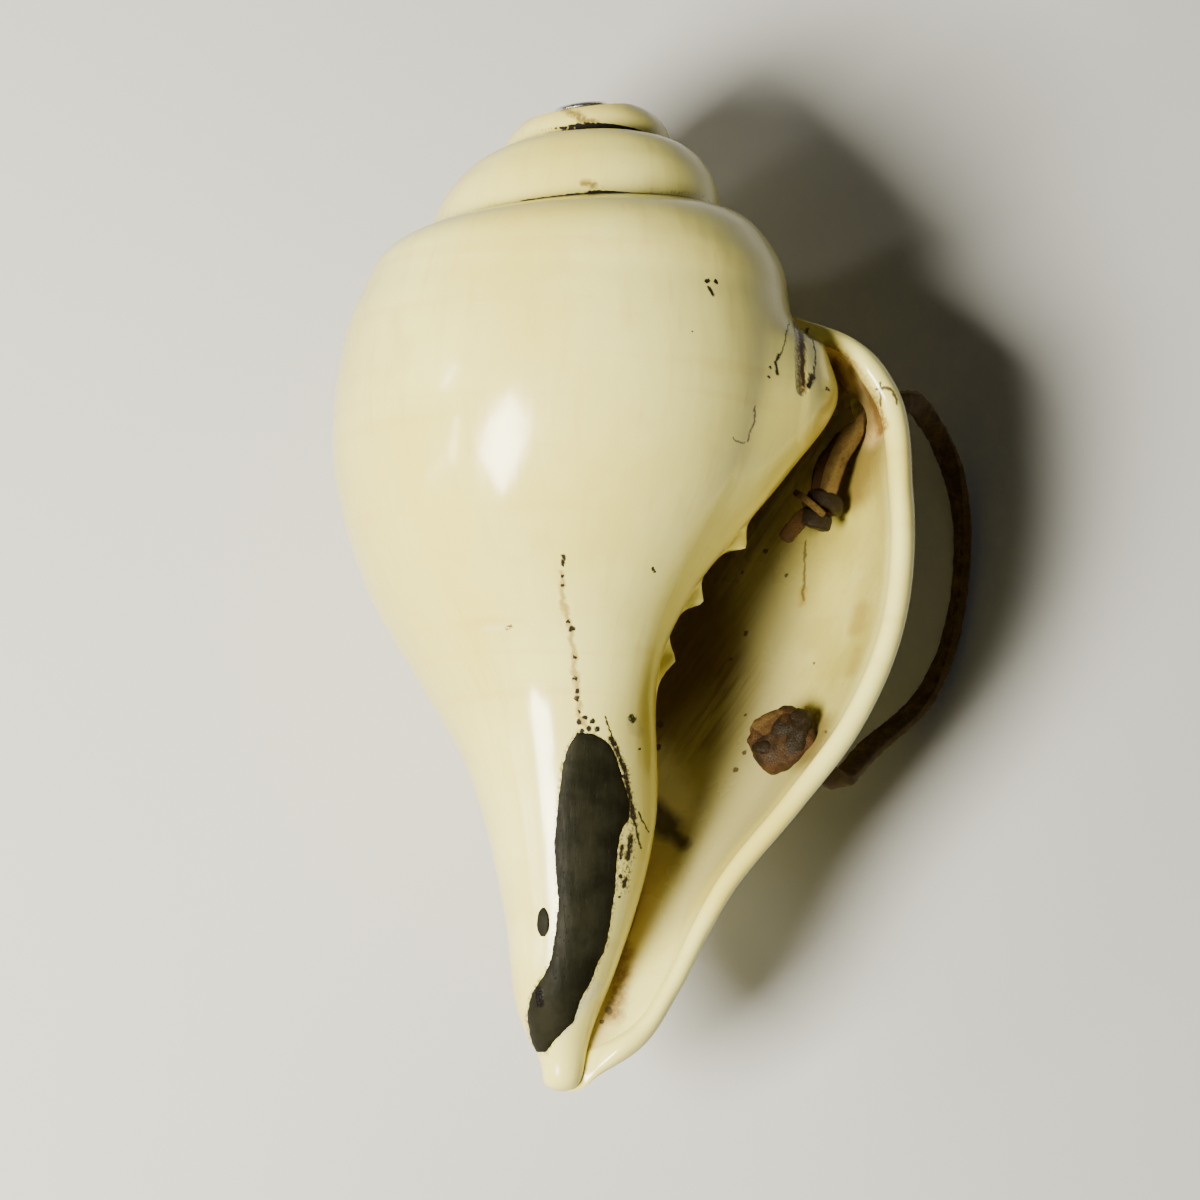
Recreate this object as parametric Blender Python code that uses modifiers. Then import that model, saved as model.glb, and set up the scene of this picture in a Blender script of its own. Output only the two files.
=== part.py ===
"""Conch-shell trumpet: a chank shell lying on its back with the opening up.

The shell is one logarithmic spiral.  A profile (distance along the axis, radius)
is swept once around for each whorl and shrinks by WHORL_RATIO every turn.  The
angle t is 0 at the outer lip and falls going back into the spire, so -360
degrees is one whorl earlier, where the aperture meets the older whorl.
Shell frame: +X to the lip, +Y to the apex, +Z out of the opening's side.
"""
import math

import bmesh
import bpy
import numpy as np
from mathutils import Matrix, Vector

MM = 0.001
TURN = 2.0 * math.pi

# driving sizes
WHORL_RATIO = 1.66             # growth of every size in one turn
SHELL_LENGTH = 189.8 * MM      # virtual apex to canal tip, along the axis
TIP_BLUNT = 13.0 * MM          # how full the canal's tip is
WALL_TOP = 5.4 * MM            # outer wall at the shoulder
WALL_TIP = 2.9 * MM            # outer wall at the canal
LUMEN_END = -450.0             # degrees; how far back the hollow is modelled
SEAM = 3.5                     # profile parameter where the next whorl is laid on
FOLDS = (7.12, 8.05, 8.87)     # profile parameters of the three columella folds
FOLD_HEIGHT = 2.9 * MM
THONG_DIAMETER = 4.0 * MM
HOLE_DIAMETER = 6.2 * MM
PATCH_PROUD = 0.35 * MM        # pitch fill above the shell surface
PATCH_DEPTH = 1.3 * MM         # pitch fill below it
GAP = 0.3 * MM                 # between pieces that touch
REST_CUT = 0.9 * MM           # worn off the back, where the shell rests

# the spire departs a little from the spiral: these grow towards the point
SPIRE_WIDER = 0.08             # share of the radius
SPIRE_ASIDE = -0.75 * MM       # moved away from the lip
SPIRE_LEAN = 0.20              # front raised by this share of its depth

# profile control points, (distance from the virtual apex, radius) in mm
SHOULDER = [(49.7, 46.8), (56.5, 53.6), (67.0, 58.3), (86.5, 60.6), (105.0, 58.7)]
BASE = {
    0: [(122.4, 51.7), (137.5, 41.1), (150.5, 31.0), (160.5, 25.4), (171.4, 20.3), (182.0, 13.4)],
    90: [(110.5, 46.0), (125.5, 36.5), (139.0, 27.0), (151.0, 20.5), (165.0, 15.5), (179.0, 10.4)],
    180: [(98.5, 39.4), (112.5, 30.4), (126.0, 21.6), (140.4, 16.1), (158.4, 11.6), (176.4, 8.4)],
    270: [(87.0, 35.4), (100.5, 27.1), (114.0, 19.8), (130.0, 16.3), (152.0, 13.0), (173.0, 9.2)],
    360: [(76.4, 31.2), (87.3, 24.7), (98.0, 18.5), (113.0, 14.0), (141.0, 14.5), (165.4, 9.4)],
}
# inner lip with its callus, at -360 degrees, from the posterior corner to the tip
INNER_LIP = [(51.5, 43.0), (62.5, 45.3), (75.5, 36.9), (86.5, 28.4), (98.0, 20.0),
             (113.0, 14.3), (141.0, 15.0), (165.4, 9.4), (189.8, 0.0)]

# resolution
ROWS = 32                      # mesh rows in one turn
RING = 4                       # mesh rows over the rounded lip

# how the shell lies on its back: turned by these angles, balance point over the origin
REST_ROLL = -3.0               # degrees; negative leans it away from the lip
REST_PITCH = -1.0              # degrees; negative dips the canal
BALANCE = (1.2, -78.3, -6.2)   # mm, shell frame

# mouth end in mm: the middle of the sawn face, how far it leans to the left, radii
MOUTH = (-3.4, -10.4, 0.0)
MOUTH_LEAN = 10.0              # degrees
BORE_RADIUS = 3.4
PITCH_RADIUS = 5.9
RING_RADIUS = 5.1

# thong route in mm, shell frame; each hole is a straight stretch through the wall
UPPER_HOLE = ((46.6, -63.1, -10.4), (58.6, -58.2, -15.0))
LOWER_HOLE = ((35.4, -119.3, -13.6), (47.6, -128.6, -22.6))
THONG_ROUTE = [(44.6, -73.3, -16.2), (45.6, -68.3, -13.2), (47.6, -62.9, -10.9), (52.4, -60.7, -12.6),
               (57.2, -58.8, -14.5), (61.0, -57.2, -21.5), (62.6, -56.2, -31.0), (66.0, -57.6, -42.0),
               (70.4, -63.2, -49.5), (73.0, -71.0, -52.6), (73.8, -80.0, -53.4), (73.4, -89.0, -53.6),
               (72.2, -97.0, -53.6), (69.8, -104.5, -53.0), (66.0, -111.5, -50.2),
               (61.0, -116.6, -46.0), (55.4, -122.0, -40.0), (51.6, -127.0, -33.0),
               (49.4, -129.6, -26.6), (45.6, -127.1, -21.1), (41.5, -124.0, -18.1),
               (38.6, -121.8, -15.9)]
UPPER_KNOT = (44.0, -77.6, -18.4)
LOWER_KNOT = (37.6, -122.8, -11.0)


# surface maths
def growth(t):
    """Size at angle t (radians) as a share of the size at the lip."""
    return WHORL_RATIO ** (np.asarray(t, float) / TURN)


def smooth(x):
    x = np.clip(x, 0.0, 1.0)
    return x * x * (3.0 - 2.0 * x)


def spline(points, s):
    """Catmull-Rom curve through points (..., K, 2) read at parameter s."""
    s = np.asarray(s, float)
    if points.ndim == 2:
        points = np.broadcast_to(points, s.shape + points.shape)
    last = points.shape[-2] - 1
    s = np.clip(s, 0.0, last - 1e-9)
    i = np.floor(s).astype(int)
    f = (s - i)[..., None]
    ends = np.concatenate([2 * points[..., :1, :] - points[..., 1:2, :], points,
                           2 * points[..., -1:, :] - points[..., -2:-1, :]], axis=-2)

    def at(k):
        index = np.broadcast_to((i + k)[..., None, None], i.shape + (1, 2))
        return np.take_along_axis(ends, index, axis=-2)[..., 0, :]

    a, b, c, d = at(0), at(1), at(2), at(3)
    return 0.5 * (2 * b + (c - a) * f + (2 * a - 5 * b + 4 * c - d) * f ** 2
                  + (3 * b - a - 3 * c + d) * f ** 3)


def make_shoulder():
    """The shoulder points, closed at the suture: its first point is the seam
    point one whorl earlier."""
    pts = np.array([(0.0, 0.0)] + SHOULDER) * MM
    pts[0] = spline(pts, np.array([SEAM]))[0] / WHORL_RATIO
    return pts


TOP = make_shoulder()
TIP = np.array([[SHELL_LENGTH, 0.0]])
LOWER = np.array([np.concatenate([np.array(BASE[k]) * MM, TIP]) for k in (0, 90, 180, 270, 360)])
INNER = np.array(INNER_LIP) * MM
OLDER = np.concatenate([TOP / WHORL_RATIO, LOWER[4]])   # plain profile at -360
LAST = 12.0                    # profile parameter of the canal tip


def lower_points(t):
    """Base and canal control points at t, read between the five given azimuths."""
    x = np.clip(-np.asarray(t) / (TURN / 4), 0.0, 4.0 - 1e-9)
    i = np.floor(x).astype(int)
    f = (x - i)[..., None, None]
    ends = np.concatenate([2 * LOWER[:1] - LOWER[1:2], LOWER, 2 * LOWER[-1:] - LOWER[-2:-1]])
    a, b, c, d = ends[i], ends[i + 1], ends[i + 2], ends[i + 3]
    return 0.5 * (2 * b + (c - a) * f + (2 * a - 5 * b + 4 * c - d) * f ** 2
                  + (3 * b - a - 3 * c + d) * f ** 3)


def profile(t, s, callus=True):
    """Outer surface of the last whorl, (axial, radius), for t in -360..0 degrees."""
    t, s = np.broadcast_arrays(np.asarray(t, float), np.asarray(s, float))
    shape = t.shape
    t, s = t.ravel(), s.ravel()
    points = np.concatenate([TOP * growth(t)[:, None, None], lower_points(t)], axis=1)
    out = spline(points, s)
    out[:, 1] *= shoulder_trim(t, s)
    # the canal's tip is blunt
    last = np.clip(s - (LAST - 1.0), 0.0, 1.0)
    out[:, 1] += TIP_BLUNT * last ** 5 * np.sqrt(1.0 - last)
    if callus:
        # within 38 degrees of the inner lip the base swells out to INNER
        near = (1.0 - smooth((np.degrees(t) + 360.0) / 38.0)) * smooth((s - SEAM) / 0.5)
        swell = spline(INNER, np.maximum(s - 4.0, 0.0)) - spline(OLDER, s)
        out += near[:, None] * swell
    return out.reshape(shape + (2,))


def shoulder_trim(t, s):
    """Flatter shoulder over the posterior corner, fuller shoulder at the lip."""
    turn = np.degrees(t)
    hump = np.sin(np.clip(s / SEAM, 0.0, 1.0) * math.pi)
    flat = np.exp(-((turn + 360.0) / 55.0) ** 2)
    full = np.exp(-((turn) / 40.0) ** 2)
    return 1.0 - 0.055 * hump * flat + 0.03 * hump * full


def spire(t, s):
    """Outer surface of the earlier whorls, (axial, radius), t below -360 degrees."""
    out = spline(TOP, s) * growth(t)[..., None]
    out[..., 1] *= shoulder_trim(t, s)
    return out


def to_space(t, plane):
    """(axial, radius) at angle t to shell-frame coordinates, with the spire's lean."""
    t = np.asarray(t, float)
    depth, radius = plane[..., 0], plane[..., 1]
    share = 1.0 - smooth((depth - 33 * MM) / (14 * MM))
    lean = SPIRE_LEAN * (1.0 - smooth((depth - 12 * MM) / (26 * MM)))
    radius = radius * (1.0 + SPIRE_WIDER * share)
    front = radius * np.sin(t)
    return np.stack([radius * np.cos(t) + SPIRE_ASIDE * share, lean * front - depth, front], axis=-1)


def inward(curve, step=1e-3):
    """Unit normals of curve(s), a function of s, pointing into the whorl."""
    def normals(s):
        d = curve(np.minimum(s + step, LAST)) - curve(np.maximum(s - step, 0.0))
        d /= np.linalg.norm(d, axis=-1, keepdims=True)
        return np.stack([d[..., 1], -d[..., 0]], axis=-1)
    return normals


def fold_bumps(s):
    return sum(np.exp(-np.abs((s - c) / 0.17) ** 1.5) for c in FOLDS)


def hollow_loop(t, s, seam):
    """One closed section of the hollow at angle t: the outer wall's inside from
    the posterior corner down to the canal, then back up the columella."""
    size = float(growth(t))
    deep = float(smooth(-t / math.radians(50.0)))
    end = 8.05 + 3.55 * math.exp(math.degrees(t) / 32.0)
    across = 0.55 + (end - 0.55) * s / LAST
    if t >= -TURN:
        def curve(x):
            return profile(np.full(x.shape, t), x, callus=False)
    else:
        def curve(x):
            return spline(OLDER, x) * growth(t + TURN)
    wall = (WALL_TOP + (WALL_TIP - WALL_TOP) * across / LAST) * min(1.0, float(growth(t + 1.0)))
    outer = curve(across) + inward(curve)(across) * wall[:, None]
    foot = 11.75 + (10.6 - 11.75) * deep
    back = columella_parameter(s[::-1][:len(s) - seam], foot)
    step = 1e-3
    along = spline(INNER, np.minimum(back - 4 + step, 8)) - spline(INNER, back - 4 - step)
    along /= np.linalg.norm(along, axis=1, keepdims=True)
    out = np.stack([-along[:, 1], along[:, 0]], axis=1)
    inner = (spline(INNER, back - 4) + out * (FOLD_HEIGHT * fold_bumps(back))[:, None]) * size
    # further in, the hollow pinches out between the wall and a thicker columella
    pinch = outer[-1] + np.array([-1.5, -3.2]) * MM * size
    rise = smooth((back - 9.1) / (foot - 9.1)) * deep
    inner += rise[:, None] * (pinch - inner[0])
    v = np.linspace(0.0, 1.0, len(s))
    outer += smooth((v - 0.86) / 0.14)[:, None] * (inner[0] - outer[-1])
    outer += (1.0 - smooth(v / 0.12))[:, None] * (inner[-1] - outer[0])
    return np.concatenate([outer, inner[1:]])


def columella_parameter(s, foot):
    """Map the profile parameter (SEAM..12) to the inner lip's, keeping the folds."""
    s = np.asarray(s, float)
    low = 4.0 + (s - SEAM) * (6.0 - 4.0) / (6.0 - SEAM)
    high = 9.1 + (s - 9.1) * (foot - 9.1) / (LAST - 9.1)
    return np.where(s < 6.0, low, np.where(s < 9.1, s, high))


def profile_columns():
    """Profile parameters of the mesh columns, closer together at the folds."""
    even = np.concatenate([np.linspace(0.0, SEAM, 8), np.linspace(SEAM, LAST, 18)[1:]])
    extra = np.concatenate([np.array(FOLDS) + d for d in (-0.2, 0.0, 0.2)])
    kept = [v for v in even if np.abs(extra - v).min() > 0.12]
    return np.sort(np.concatenate([kept, extra, [LAST - 0.16, LAST - 0.05, LAST - 0.01]]))


# shell surface
def shell_patches():
    """The shell's surface as grids of points that share their edges."""
    s = profile_columns()
    seam = int(np.argmin(np.abs(s - SEAM)))
    step = TURN / ROWS

    # last whorl, from the inner lip (first row) to the outer lip (last row)
    angle = np.repeat((np.arange(ROWS + 1) * step - TURN)[:, None], len(s), axis=1)
    edge = np.where(np.arange(len(s)) > seam, 0.6 * step - TURN, -TURN)
    angle[0] = edge
    body = to_space(angle, profile(angle, np.broadcast_to(s, angle.shape)))

    # spire, three more turns up to the point
    count = int(3.15 * ROWS)
    angle = np.repeat((-TURN - np.arange(count + 1) * step)[:, None], seam + 1, axis=1)
    upper = to_space(angle, spire(angle, np.broadcast_to(s[:seam + 1], angle.shape)))

    # rounded outer lip, from the outside over the edge to the inside
    arc = np.linspace(0.0, math.pi, RING + 1)[:, None, None]
    first = to_space(0.0, hollow_loop(0.0, s, seam))
    inside = first[:len(s)]
    outside = body[-1]
    width = np.linalg.norm(outside - inside, axis=1)
    rim = outside + (inside - outside) * (1.0 - np.cos(arc)) / 2.0
    bulge = 0.5 * width * smooth(s / 1.5) * smooth((LAST - s) / 0.8)
    rim[..., 2] += np.sin(arc[..., 0]) * bulge

    # inner lip, from the body's first row back to the columella
    columns = s[::-1][:len(s) - seam]
    row = np.linspace(0.0, 1.0, RING + 1)[:, None]
    t = edge[::-1][:len(columns)] * (1.0 - row) - TURN * row
    read = columns * (1.0 - row) + columella_parameter(columns, 11.75) * row
    lip = to_space(t, profile(t, read))
    target = np.concatenate([first[len(s) - 1:]])
    lip = lip + (target - lip[-1]) * row[..., None]
    begin = body[0][::-1][:len(columns)]
    straight = begin + (target - begin) * (1.0 - np.cos(arc)) / 2.0
    ends = np.maximum(1 - smooth((LAST - columns) / 1.0), 1 - smooth((columns - SEAM) / 1.0))
    lip = lip + (straight - lip) * ends[None, :, None]

    # the hollow, winding back from the lip
    turns = int(round(-LUMEN_END / 360.0 * ROWS))
    hollow = np.array([to_space(-k * step, hollow_loop(-k * step, s, seam))
                       for k in range(turns + 1)])
    return [body, upper, rim, lip, hollow], seam


def mesh_from_patches():
    patches, seam = shell_patches()
    bm = bmesh.new()
    grids = []
    for patch in patches:
        grids.append([[bm.verts.new(p) for p in line] for line in patch])
    for grid in grids:
        for a, b in zip(grid[:-1], grid[1:]):
            for j in range(len(a) - 1):
                bm.faces.new((a[j], a[j + 1], b[j + 1], b[j]))
    # close the hollow's inner end and the point of the spire
    end = grids[4][-1][:-1]
    hub = bm.verts.new(sum((v.co for v in end), Vector()) / len(end))
    for a, b in zip(end, end[1:] + end[:1]):
        bm.faces.new((a, b, hub))
    last = grids[1][-1]
    loop = last[::-1] + [grids[1][-1 - k][0] for k in range(1, ROWS + 1)]
    hub = bm.verts.new(sum((v.co for v in loop), Vector()) / len(loop))
    for a, b in zip(loop[:-1], loop[1:]):
        bm.faces.new((a, b, hub))
    bmesh.ops.remove_doubles(bm, verts=bm.verts, dist=0.004 * MM)
    bmesh.ops.dissolve_degenerate(bm, edges=bm.edges, dist=0.004 * MM)
    bmesh.ops.triangulate(bm, faces=bm.faces)
    bmesh.ops.recalc_face_normals(bm, faces=bm.faces)
    mesh = bpy.data.meshes.new("shell")
    bm.to_mesh(mesh)
    bm.free()
    if signed_volume(mesh) < 0.0:
        mesh.flip_normals()
    return mesh


def signed_volume(mesh):
    mesh.calc_loop_triangles()
    total = 0.0
    for tri in mesh.loop_triangles:
        a, b, c = (mesh.vertices[i].co for i in tri.vertices)
        total += a.dot(b.cross(c)) / 6.0
    return total


# pitch fills
def radius_at(axial, t):
    """Radius of the body surface at an axial distance on the canal."""
    s = np.linspace(6.0, LAST, 140)
    curve = profile(np.full(s.shape, t), s)
    return float(np.interp(axial, curve[:, 0], curve[:, 1]))


def angle_at(axial, x):
    """Angle t on the front of the canal where the surface has this x."""
    t = -0.75 * TURN
    for _ in range(12):
        t = -TURN * 0.75 - math.asin(max(-0.98, min(0.98, x / radius_at(axial, t))))
    return t


def slab_on_canal(name, rows, lift, grow, across=7):
    """A slab that follows the canal: rows are (axial, left x, right x) in mm.
    It is shallower where the canal is thin."""
    rows = [list(r) for r in rows]
    rows[0][0] -= grow / MM
    rows[-1][0] += grow / MM
    top, low = [], []
    for axial, left, right in rows:
        a, b = left * MM - grow, right * MM + grow
        line_top, line_low = [], []
        for k in range(across):
            t = angle_at(axial * MM, a + (b - a) * k / (across - 1))
            r = radius_at(axial * MM, t)
            line_top.append(to_space(t, np.array([axial * MM, r + lift])))
            sink = min(PATCH_DEPTH, 0.16 * r) + grow
            line_low.append(to_space(t, np.array([axial * MM, r - sink])))
        top.append(line_top)
        low.append(line_low)
    bm = bmesh.new()
    upper = [[bm.verts.new(p) for p in line] for line in top]
    lower = [[bm.verts.new(p) for p in line] for line in low]
    for a, b, flip in ((upper, upper, False), (lower, lower, True)):
        for p, q in zip(a[:-1], a[1:]):
            for j in range(across - 1):
                quad = (p[j], p[j + 1], q[j + 1], q[j])
                bm.faces.new(quad[::-1] if flip else quad)
    edge_top = ([upper[0][j] for j in range(across)] + [r[-1] for r in upper[1:]]
                + upper[-1][-2::-1] + [r[0] for r in upper[-2:0:-1]])
    edge_low = ([lower[0][j] for j in range(across)] + [r[-1] for r in lower[1:]]
                + lower[-1][-2::-1] + [r[0] for r in lower[-2:0:-1]])
    for k in range(len(edge_top)):
        m = (k + 1) % len(edge_top)
        bm.faces.new((edge_top[k], edge_low[k], edge_low[m], edge_top[m]))
    bmesh.ops.triangulate(bm, faces=bm.faces)
    bmesh.ops.recalc_face_normals(bm, faces=bm.faces)
    mesh = bpy.data.meshes.new(name)
    bm.to_mesh(mesh)
    bm.free()
    return mesh


# outline of the fill on the canal: (axial, left x, right x) in mm
PATCH_ROWS = [(126.6, 0.2, 3.0), (127.8, -0.5, 5.6), (129.5, -1.4, 7.0), (132.0, -2.1, 8.1),
              (135.0, -2.5, 9.1), (138.0, -2.7, 10.0), (140.8, -2.9, 10.2), (143.2, -3.0, 8.9),
              (147.3, -3.1, 8.4), (152.6, -2.5, 8.2), (157.0, -2.1, 7.8), (163.6, -2.6, 6.9),
              (167.1, -3.0, 5.5), (169.4, -4.0, 4.8), (171.2, -5.2, 4.0), (173.2, -6.2, 3.0),
              (175.7, -6.8, 2.1), (177.6, -6.8, 1.4), (179.4, -6.4, -0.3), (181.2, -5.9, -1.9),
              (183.0, -5.2, -3.2)]
DAB_ROWS = [(157.6, -4.9, -4.3), (158.6, -5.5, -3.7), (160.1, -5.7, -3.4), (161.6, -5.5, -3.5),
            (162.7, -4.9, -4.1)]


# scene helpers
def new_collection(name):
    made = bpy.data.collections.new(name)
    bpy.context.scene.collection.children.link(made)
    return made


def material(name, colour, roughness, metallic=0.0):
    made = bpy.data.materials.new(name)
    made.use_nodes = True
    node = made.node_tree.nodes["Principled BSDF"]
    node.inputs["Base Color"].default_value = (*colour, 1.0)
    node.inputs["Roughness"].default_value = roughness
    node.inputs["Metallic"].default_value = metallic
    made.diffuse_color = (*colour, 1.0)
    return made


def place(obj, collection, parent, surface=None):
    for old in list(obj.users_collection):
        old.objects.unlink(obj)
    collection.objects.link(obj)
    if parent is not None:
        obj.parent = parent
    if surface is not None:
        obj.data.materials.clear()
        obj.data.materials.append(surface)
    return obj


def as_cutter(obj, collection, parent):
    place(obj, collection, parent)
    obj.hide_render = True
    obj.display_type = "WIRE"
    return obj


def cylinder(name, start, end, diameter, vertices=24):
    start, end = Vector(start), Vector(end)
    bpy.ops.mesh.primitive_cylinder_add(vertices=vertices, radius=diameter / 2,
                                        depth=(end - start).length)
    obj = bpy.context.object
    obj.name = name
    obj.location = (start + end) / 2
    obj.rotation_mode = "QUATERNION"
    obj.rotation_quaternion = (end - start).to_track_quat("Z", "Y")
    return obj


def cut(target, cutter, name):
    step = target.modifiers.new(name, "BOOLEAN")
    step.operation = "DIFFERENCE"
    step.solver = "EXACT"
    step.object = cutter


def tube(name, points, diameter):
    """A round cord through points (metres), read from a smooth curve."""
    pts = np.array(points, float)
    pad = np.concatenate([2 * pts[:1] - pts[1:2], pts, 2 * pts[-1:] - pts[-2:-1]])
    fine = []
    for i in range(len(pts) - 1):
        a, b, c, d = pad[i], pad[i + 1], pad[i + 2], pad[i + 3]
        for f in np.linspace(0.0, 1.0, 30, endpoint=False):
            fine.append(0.5 * (2 * b + (c - a) * f + (2 * a - 5 * b + 4 * c - d) * f ** 2
                               + (3 * b - a - 3 * c + d) * f ** 3))
    fine.append(pts[-1])
    fine = np.array(fine)
    run = np.concatenate([[0.0], np.cumsum(np.linalg.norm(np.diff(fine, axis=0), axis=1))])
    count = max(4, int(round(run[-1] / (1.6 * diameter))) + 1)
    where = np.linspace(0.0, run[-1], count)
    even = np.stack([np.interp(where, run, fine[:, k]) for k in range(3)], axis=1)
    data = bpy.data.curves.new(name, "CURVE")
    data.dimensions = "3D"
    data.bevel_depth = diameter / 2
    data.bevel_resolution = 2
    data.use_fill_caps = True
    line = data.splines.new("POLY")
    line.points.add(count - 1)
    for k, p in enumerate(even):
        line.points[k].co = (*p, 1.0)
    return bpy.data.objects.new(name, data)


def turned(name, outline, collection, parent, surface, steps=32):
    """A ring about the mouth's axis from a closed outline of (radius, depth) in mm."""
    bm = bmesh.new()
    verts = [bm.verts.new((r * MM, 0.0, -a * MM)) for r, a in outline[::-1]]
    for a, b in zip(verts, verts[1:] + verts[:1]):
        bm.edges.new((a, b))
    mesh = bpy.data.meshes.new(name)
    bm.to_mesh(mesh)
    bm.free()
    obj = bpy.data.objects.new(name, mesh)
    obj.location = Vector(MOUTH) * MM
    obj.rotation_euler = (-math.pi / 2, 0.0, math.radians(MOUTH_LEAN))
    lathe = obj.modifiers.new("lathe", "SCREW")
    lathe.steps = lathe.render_steps = steps
    lathe.use_merge_vertices = True
    lathe.merge_threshold = 0.00001
    lathe.use_normal_flip = True
    place(obj, collection, parent, surface)
    return obj


def lump(name, centre, size, towards, twist, collection, parent, surface):
    """A soft knot: a squashed cube cage, subdivided, with its thin side on towards."""
    bpy.ops.mesh.primitive_cube_add(size=1.0)
    obj = bpy.context.object
    obj.name = name
    for k, v in enumerate(obj.data.vertices):
        lean = 0.12 if v.co.y > 0 else -0.10
        v.co = Vector((v.co.x * size[0] * (1 + lean), v.co.y * size[1],
                       v.co.z * size[2] * (1 - lean * 0.6))) * MM
    obj.location = Vector(centre) * MM
    aim = Vector(towards).to_track_quat("Z", "Y")
    obj.rotation_mode = "QUATERNION"
    obj.rotation_quaternion = aim @ Matrix.Rotation(math.radians(twist), 4, "Z").to_quaternion()
    soft = obj.modifiers.new("soft", "SUBSURF")
    soft.levels = soft.render_levels = 2
    place(obj, collection, parent, surface)
    obj.data.shade_smooth()
    return obj


def hole(name, ends, cutters, frame, diameter):
    a, b = Vector(ends[0]) * MM, Vector(ends[1]) * MM
    return as_cutter(cylinder(name, a, b, diameter), cutters, frame)


def build():
    for old in list(bpy.data.objects):
        bpy.data.objects.remove(old, do_unlink=True)
    parts = new_collection("conch_shell")
    cutters = new_collection("cutters")

    ivory = material("shell_ivory", (0.80, 0.71, 0.52), 0.22)
    pitch = material("pitch", (0.035, 0.033, 0.032), 0.45)
    white_metal = material("white_metal", (0.72, 0.72, 0.70), 0.3, 1.0)
    leather = material("thong_leather", (0.16, 0.075, 0.035), 0.75)

    # the shell frame, turned so that the shell lies on its worn spot
    mesh = mesh_from_patches()
    roll, tip = math.radians(REST_ROLL), math.radians(REST_PITCH)
    down = Vector((math.sin(roll) * math.cos(tip), math.sin(tip), -math.cos(roll) * math.cos(tip)))
    depth = max(v.co.dot(down) for v in mesh.vertices) - REST_CUT
    balance = Vector(BALANCE) * MM
    foot = balance + down * (depth - balance.dot(down))
    turn = down.rotation_difference(Vector((0.0, 0.0, -1.0))).to_matrix().to_4x4()
    frame = bpy.data.objects.new("conch_frame", None)
    frame.matrix_world = turn @ Matrix.Translation(-foot)
    parts.objects.link(frame)

    shell = place(bpy.data.objects.new("shell", mesh), parts, frame, ivory)

    # sawn apex, with a counterbore for the mouth's pitch and a blind bore below it
    mouth = Vector(MOUTH) * MM
    lean = math.radians(MOUTH_LEAN)
    out = Vector((-math.sin(lean), math.cos(lean), 0.0))
    bpy.ops.mesh.primitive_cube_add(size=60 * MM)
    saw = as_cutter(bpy.context.object, cutters, frame)
    saw.name = "apex_saw"
    saw.location = mouth + out * 30 * MM
    saw.rotation_euler = (0.0, 0.0, lean)
    cut(shell, saw, "apex")
    seat = cylinder("mouth_seat", mouth - out * 2.4 * MM, mouth + out * 6 * MM,
                    2 * PITCH_RADIUS * MM + 2 * GAP, 32)
    cut(shell, as_cutter(seat, cutters, frame), "mouth_seat")
    bore = cylinder("mouth_bore", mouth - Vector((0, 14 * MM, 0)), mouth + Vector((0, 6 * MM, 0)),
                    2 * BORE_RADIUS * MM, 24)
    cut(shell, as_cutter(bore, cutters, frame), "mouth_bore")

    # drilled holes for the thong
    cut(shell, hole("upper_drill", UPPER_HOLE, cutters, frame, HOLE_DIAMETER), "upper_hole")
    cut(shell, hole("lower_drill", LOWER_HOLE, cutters, frame, HOLE_DIAMETER), "lower_hole")

    # recesses for the pitch on the canal
    for name, rows in (("patch_recess", PATCH_ROWS), ("dab_recess", DAB_ROWS)):
        recess = slab_on_canal(name, rows, 4 * MM, GAP)
        recess = as_cutter(bpy.data.objects.new(name, recess), cutters, frame)
        cut(shell, recess, name)

    # the worn flat spot on the back
    bpy.ops.mesh.primitive_cube_add(size=0.1, location=(0.0, 0.0, -0.05))
    wear = as_cutter(bpy.context.object, cutters, None)
    wear.name = "worn_flat"
    cut(shell, wear, "worn_flat")
    shell.data.shade_smooth()
    shell.data.set_sharp_from_angle(angle=math.radians(50))

    for name, rows in (("canal_patch", PATCH_ROWS), ("canal_dab", DAB_ROWS)):
        fill = slab_on_canal(name, rows, PATCH_PROUD, 0.0)
        place(bpy.data.objects.new(name, fill), parts, frame, pitch)

    turned("mouth_pitch", [(PITCH_RADIUS, 2.1), (BORE_RADIUS, 2.1), (BORE_RADIUS, -0.5),
                           (PITCH_RADIUS - 0.5, -0.6), (PITCH_RADIUS - 0.1, -0.2)],
           parts, frame, pitch)
    turned("mouth_ring", [(RING_RADIUS, -0.9), (BORE_RADIUS + 0.1, -0.8),
                          (BORE_RADIUS + 0.1, -1.6), (BORE_RADIUS + 0.6, -1.9),
                          (RING_RADIUS - 0.4, -1.8), (RING_RADIUS, -1.4)],
           parts, frame, white_metal)

    route = [Vector(p) * MM for p in THONG_ROUTE]
    place(tube("thong", route, THONG_DIAMETER), parts, frame, leather)
    lump("upper_knot", UPPER_KNOT, (8.6, 8.4, 5.6), (-0.88, 0.1, 0.46), 15, parts, frame, leather)
    lump("lower_knot", LOWER_KNOT, (14.5, 16.5, 6.6), (-0.62, 0.42, 0.62), 20, parts, frame, leather)
    bpy.context.view_layer.update()


if __name__ == "__main__":
    build()
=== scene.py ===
"""Dressed model of a conch-shell trumpet: the polished shell, its pitch fills, the
mouth ring and the leather thong.

Lengths are metres.  Shapes are worked out in the shell's own frame: +X to the outer
lip, +Y to the apex, +Z out of the opening.  lay() turns that frame onto the floor,
just as the CAD model lies.  Angle t is 0 at the outer lip and falls going back into
the spire, -360 degrees for one whorl.
"""
import math

import bmesh
import bpy
import numpy as np
from mathutils import Matrix, Vector


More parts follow.
